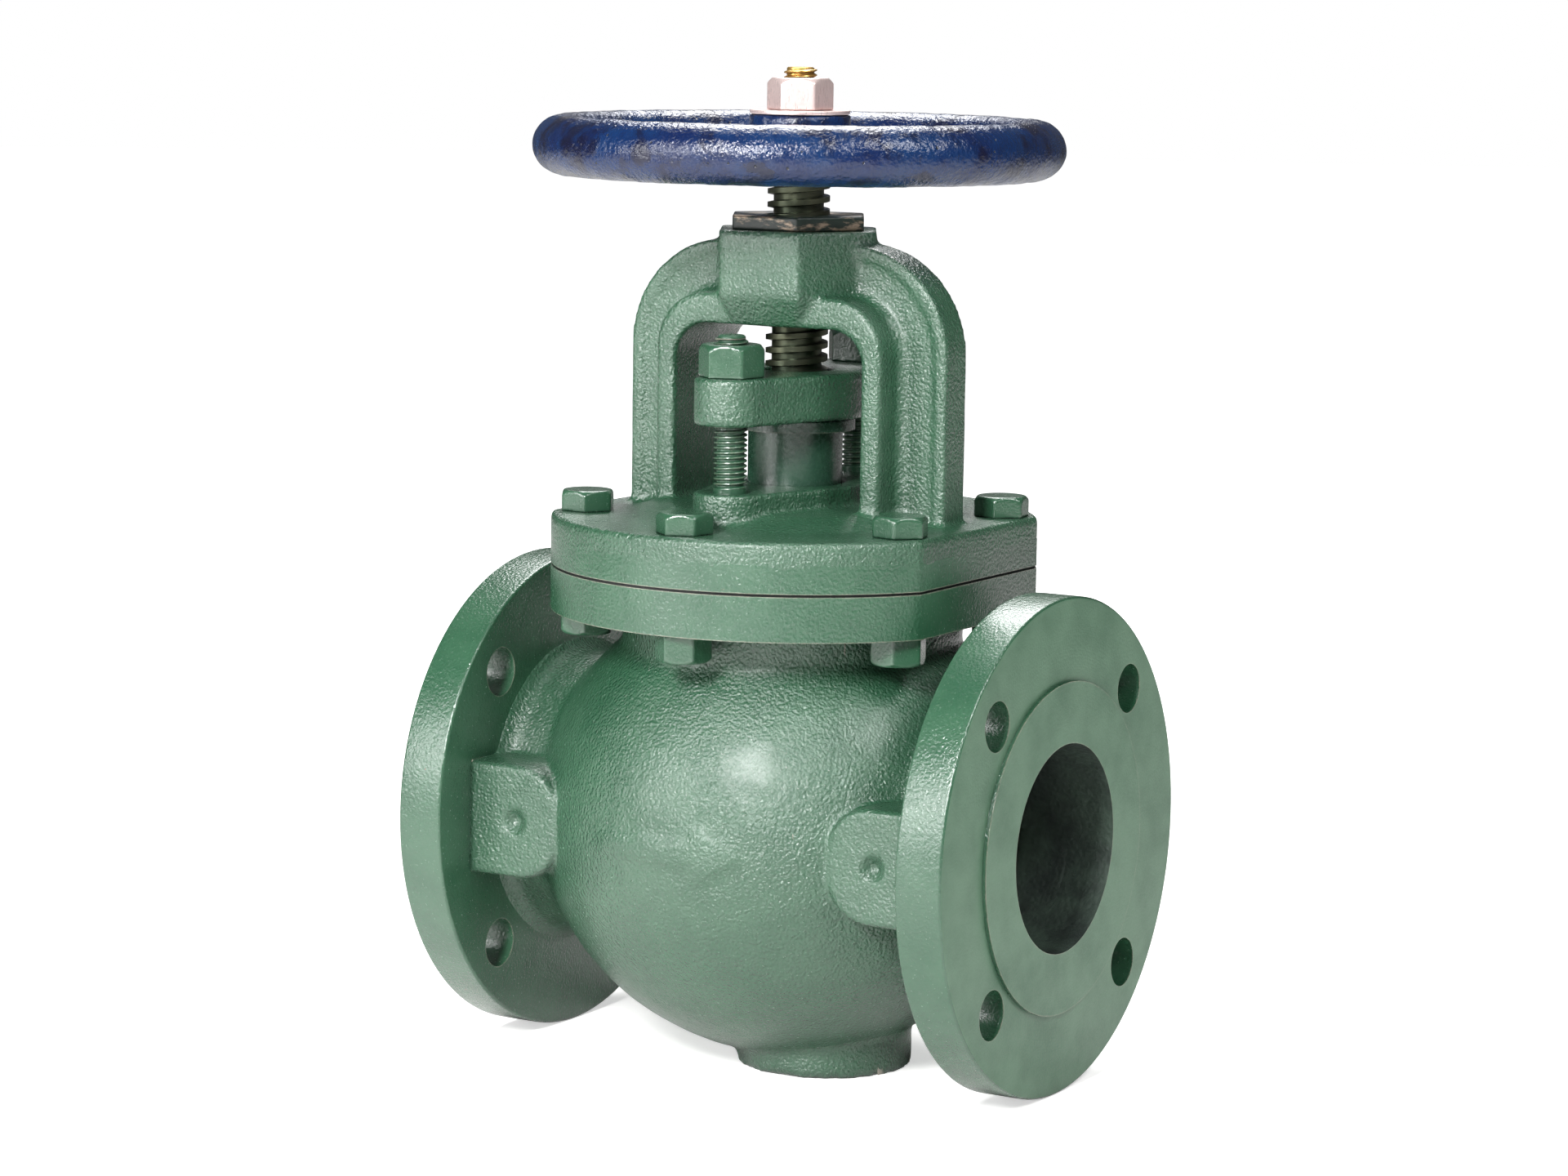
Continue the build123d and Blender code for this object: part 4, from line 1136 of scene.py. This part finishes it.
class GLOBEVALVE_OT_packing(bpy.types.Operator):
    """Braided packing rings, each with a mesh of its own, riding on the valve's body"""
    bl_idname = "globevalve.packing"
    bl_label = "Packing"

    def execute(self, context):
        braid = pressed_fibre("braided_packing", context.scene.valve_paint.graphite, 0.45)
        for node in PACKING:
            piece = copy_node(node, node.replace("packing", "braided"))
            smooth_by_angle(piece)
            finish_piece(piece, "valve", "packing", braid)
            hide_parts(node)
            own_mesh(piece)
        return {"FINISHED"}


# ---------------------------------------------------------------- stage
class GLOBEVALVE_OT_stage(bpy.types.Operator):
    """Pale floor, soft lights and the camera"""
    bl_idname = "globevalve.stage"
    bl_label = "Stage"

    def execute(self, context):
        stage = context.scene.valve_stage
        low, high = CAD_BOX
        self.middle = (low + high) / 2
        self.floor(stage)
        self.surroundings(context, stage)
        self.camera(context, stage)
        fill = stage.fill_power
        for name, turn, rise, distance, size, power in (
                ("key_softbox", -25, 28, 1.5, 0.32, stage.key_power),
                ("right_softbox", 43, 45, 1.6, 0.45, fill),
                ("left_softbox", -62, 14, 1.6, 0.6, fill * 0.9),
                ("top_softbox", 180, 68, 1.6, 0.9, fill * 0.7),
                ("rear_softbox", 180, 46, 1.7, 0.6, fill * 1.3)):
            self.softbox(name, stage.azimuth + math.radians(turn), math.radians(rise), distance,
                         size, power)
        context.scene.view_settings.view_transform = "Standard"
        return {"FINISHED"}

    @staticmethod
    def floor(stage):
        """A round floor with an inset ring near its edge."""
        bpy.ops.object.select_all(action="DESELECT")
        bpy.ops.mesh.primitive_circle_add(vertices=96, radius=stage.floor_radius,
                                          fill_type="NGON")
        floor = bpy.context.object
        floor.name = "floor"
        edit_all(floor)
        bpy.ops.mesh.inset(thickness=0.2)
        leave_edit()
        material, tree, principled = new_material("pale_floor", Emission_Strength=1.0)
        place = in_millimetres(tree)
        away = put(tree, "ShaderNodeVectorMath", {0: place}, operation="LENGTH").outputs["Value"]
        glow = graded(tree, step_mask(tree, away, 250.0, 1600.0), 0.42, 0.56)
        seen = put(tree, "ShaderNodeLightPath").outputs["Is Camera Ray"]
        tree.links.new(maths(tree, "MULTIPLY", glow, seen), principled.inputs["Emission Color"])
        mottle = noise(tree, place, 0.01, 2.0)
        tint = blend_colours(tree, maths(tree, "MULTIPLY", mottle, 0.15), stage.floor_tone,
                             tone(228, 228, 226))
        rough = graded(tree, mottle, 0.1, 0.7)
        connect(tree, principled, tint, rough)
        floor.data.materials.append(material)

    @staticmethod
    def surroundings(context, stage):
        """White all round: full white behind the valve, dimmer as a light."""
        world = bpy.data.worlds.new("studio_white")
        context.scene.world = world
        world.use_nodes = True
        tree = world.node_tree
        tree.nodes.clear()
        seen = put(tree, "ShaderNodeLightPath").outputs["Is Camera Ray"]
        glow = put(tree, "ShaderNodeBackground", {"Color": (1, 1, 1, 1), "Strength": stage.sky})
        white = put(tree, "ShaderNodeBackground", {"Color": (1, 1, 1, 1), "Strength": 1.0})
        pick = put(tree, "ShaderNodeMixShader", {0: seen, 1: glow.outputs[0],
                                                 2: white.outputs[0]})
        put(tree, "ShaderNodeOutputWorld", {"Surface": pick.outputs[0]})

    def softbox(self, name, azimuth, elevation, distance, size, power):
        """A square area light that looks at the middle of the valve."""
        light = bpy.data.lights.new(name, "AREA")
        light.shape = "SQUARE"
        light.size = size
        light.energy = power
        lamp = bpy.data.objects.new(name, light)
        bpy.context.scene.collection.objects.link(lamp)
        back = outward(azimuth, elevation)
        lamp.rotation_mode = "QUATERNION"
        lamp.rotation_quaternion = back.to_track_quat("Z", "Y")
        lamp.location = self.middle + back * distance

    def camera(self, context, stage):
        """A long lens level with the valve's waist, turned a little about its own axis."""
        data = bpy.data.cameras.new("camera")
        data.lens = stage.lens
        data.sensor_width = 36.0
        data.clip_start = 0.1
        data.clip_end = 50.0
        camera = bpy.data.objects.new("camera", data)
        context.scene.collection.objects.link(camera)
        back = outward(stage.azimuth, stage.elevation)
        level = Vector((math.cos(stage.azimuth), math.sin(stage.azimuth), 0))
        upright = back.cross(level)
        right = level * math.cos(stage.roll) + upright * math.sin(stage.roll)
        up = upright * math.cos(stage.roll) - level * math.sin(stage.roll)
        target = Vector((0, 0, self.middle.z - stage.look_below)) - level * stage.look_left
        turn = Matrix((right, up, back)).transposed().to_4x4()
        camera.matrix_world = Matrix.Translation(target + back * stage.distance) @ turn
        context.scene.camera = camera


def outward(azimuth, elevation):
    """The direction from the valve to a place round it; azimuth 0 is in front, at -Y."""
    return Vector((math.sin(azimuth) * math.cos(elevation),
                   -math.cos(azimuth) * math.cos(elevation), math.sin(elevation)))


# ---------------------------------------------------------------- panel and registration
OPERATORS = (GLOBEVALVE_OT_stage, GLOBEVALVE_OT_globe, GLOBEVALVE_OT_end_flanges,
             GLOBEVALVE_OT_joint_flange, GLOBEVALVE_OT_bonnet, GLOBEVALVE_OT_fasteners,
             GLOBEVALVE_OT_gland, GLOBEVALVE_OT_stem, GLOBEVALVE_OT_bushing,
             GLOBEVALVE_OT_handwheel, GLOBEVALVE_OT_wheel_nut, GLOBEVALVE_OT_inner_pieces,
             GLOBEVALVE_OT_packing)
SETTINGS = (("valve_paint", GlobeValvePaint), ("valve_surface", GlobeValveSurface),
            ("valve_stage", GlobeValveStage))


class GLOBEVALVE_PT_sidebar(bpy.types.Panel):
    """Sizes, colours and pieces of the globe valve"""
    bl_label = "Globe Valve"
    bl_space_type = "VIEW_3D"
    bl_region_type = "UI"
    bl_category = "Globe Valve"

    def draw(self, context):
        layout = self.layout
        for attribute, group in SETTINGS:
            settings = getattr(context.scene, attribute)
            column = layout.box().column(align=True)
            for name in group.__annotations__:
                column.prop(settings, name)
        for operator in OPERATORS:
            layout.operator(operator.bl_idname)


CLASSES = (*(group for _, group in SETTINGS), *OPERATORS, GLOBEVALVE_PT_sidebar)


def register():
    for each in CLASSES:
        bpy.utils.register_class(each)
    for attribute, group in SETTINGS:
        setattr(bpy.types.Scene, attribute, bpy.props.PointerProperty(type=group))


def unregister():
    for attribute, _ in SETTINGS:
        delattr(bpy.types.Scene, attribute)
    for each in reversed(CLASSES):
        bpy.utils.unregister_class(each)


def main():
    """Registers the add-on and builds the valve's pieces in order."""
    register()
    for operator in OPERATORS:
        family, name = operator.bl_idname.split(".")
        getattr(getattr(bpy.ops, family), name)()


if __name__ == "__main__":
    main()
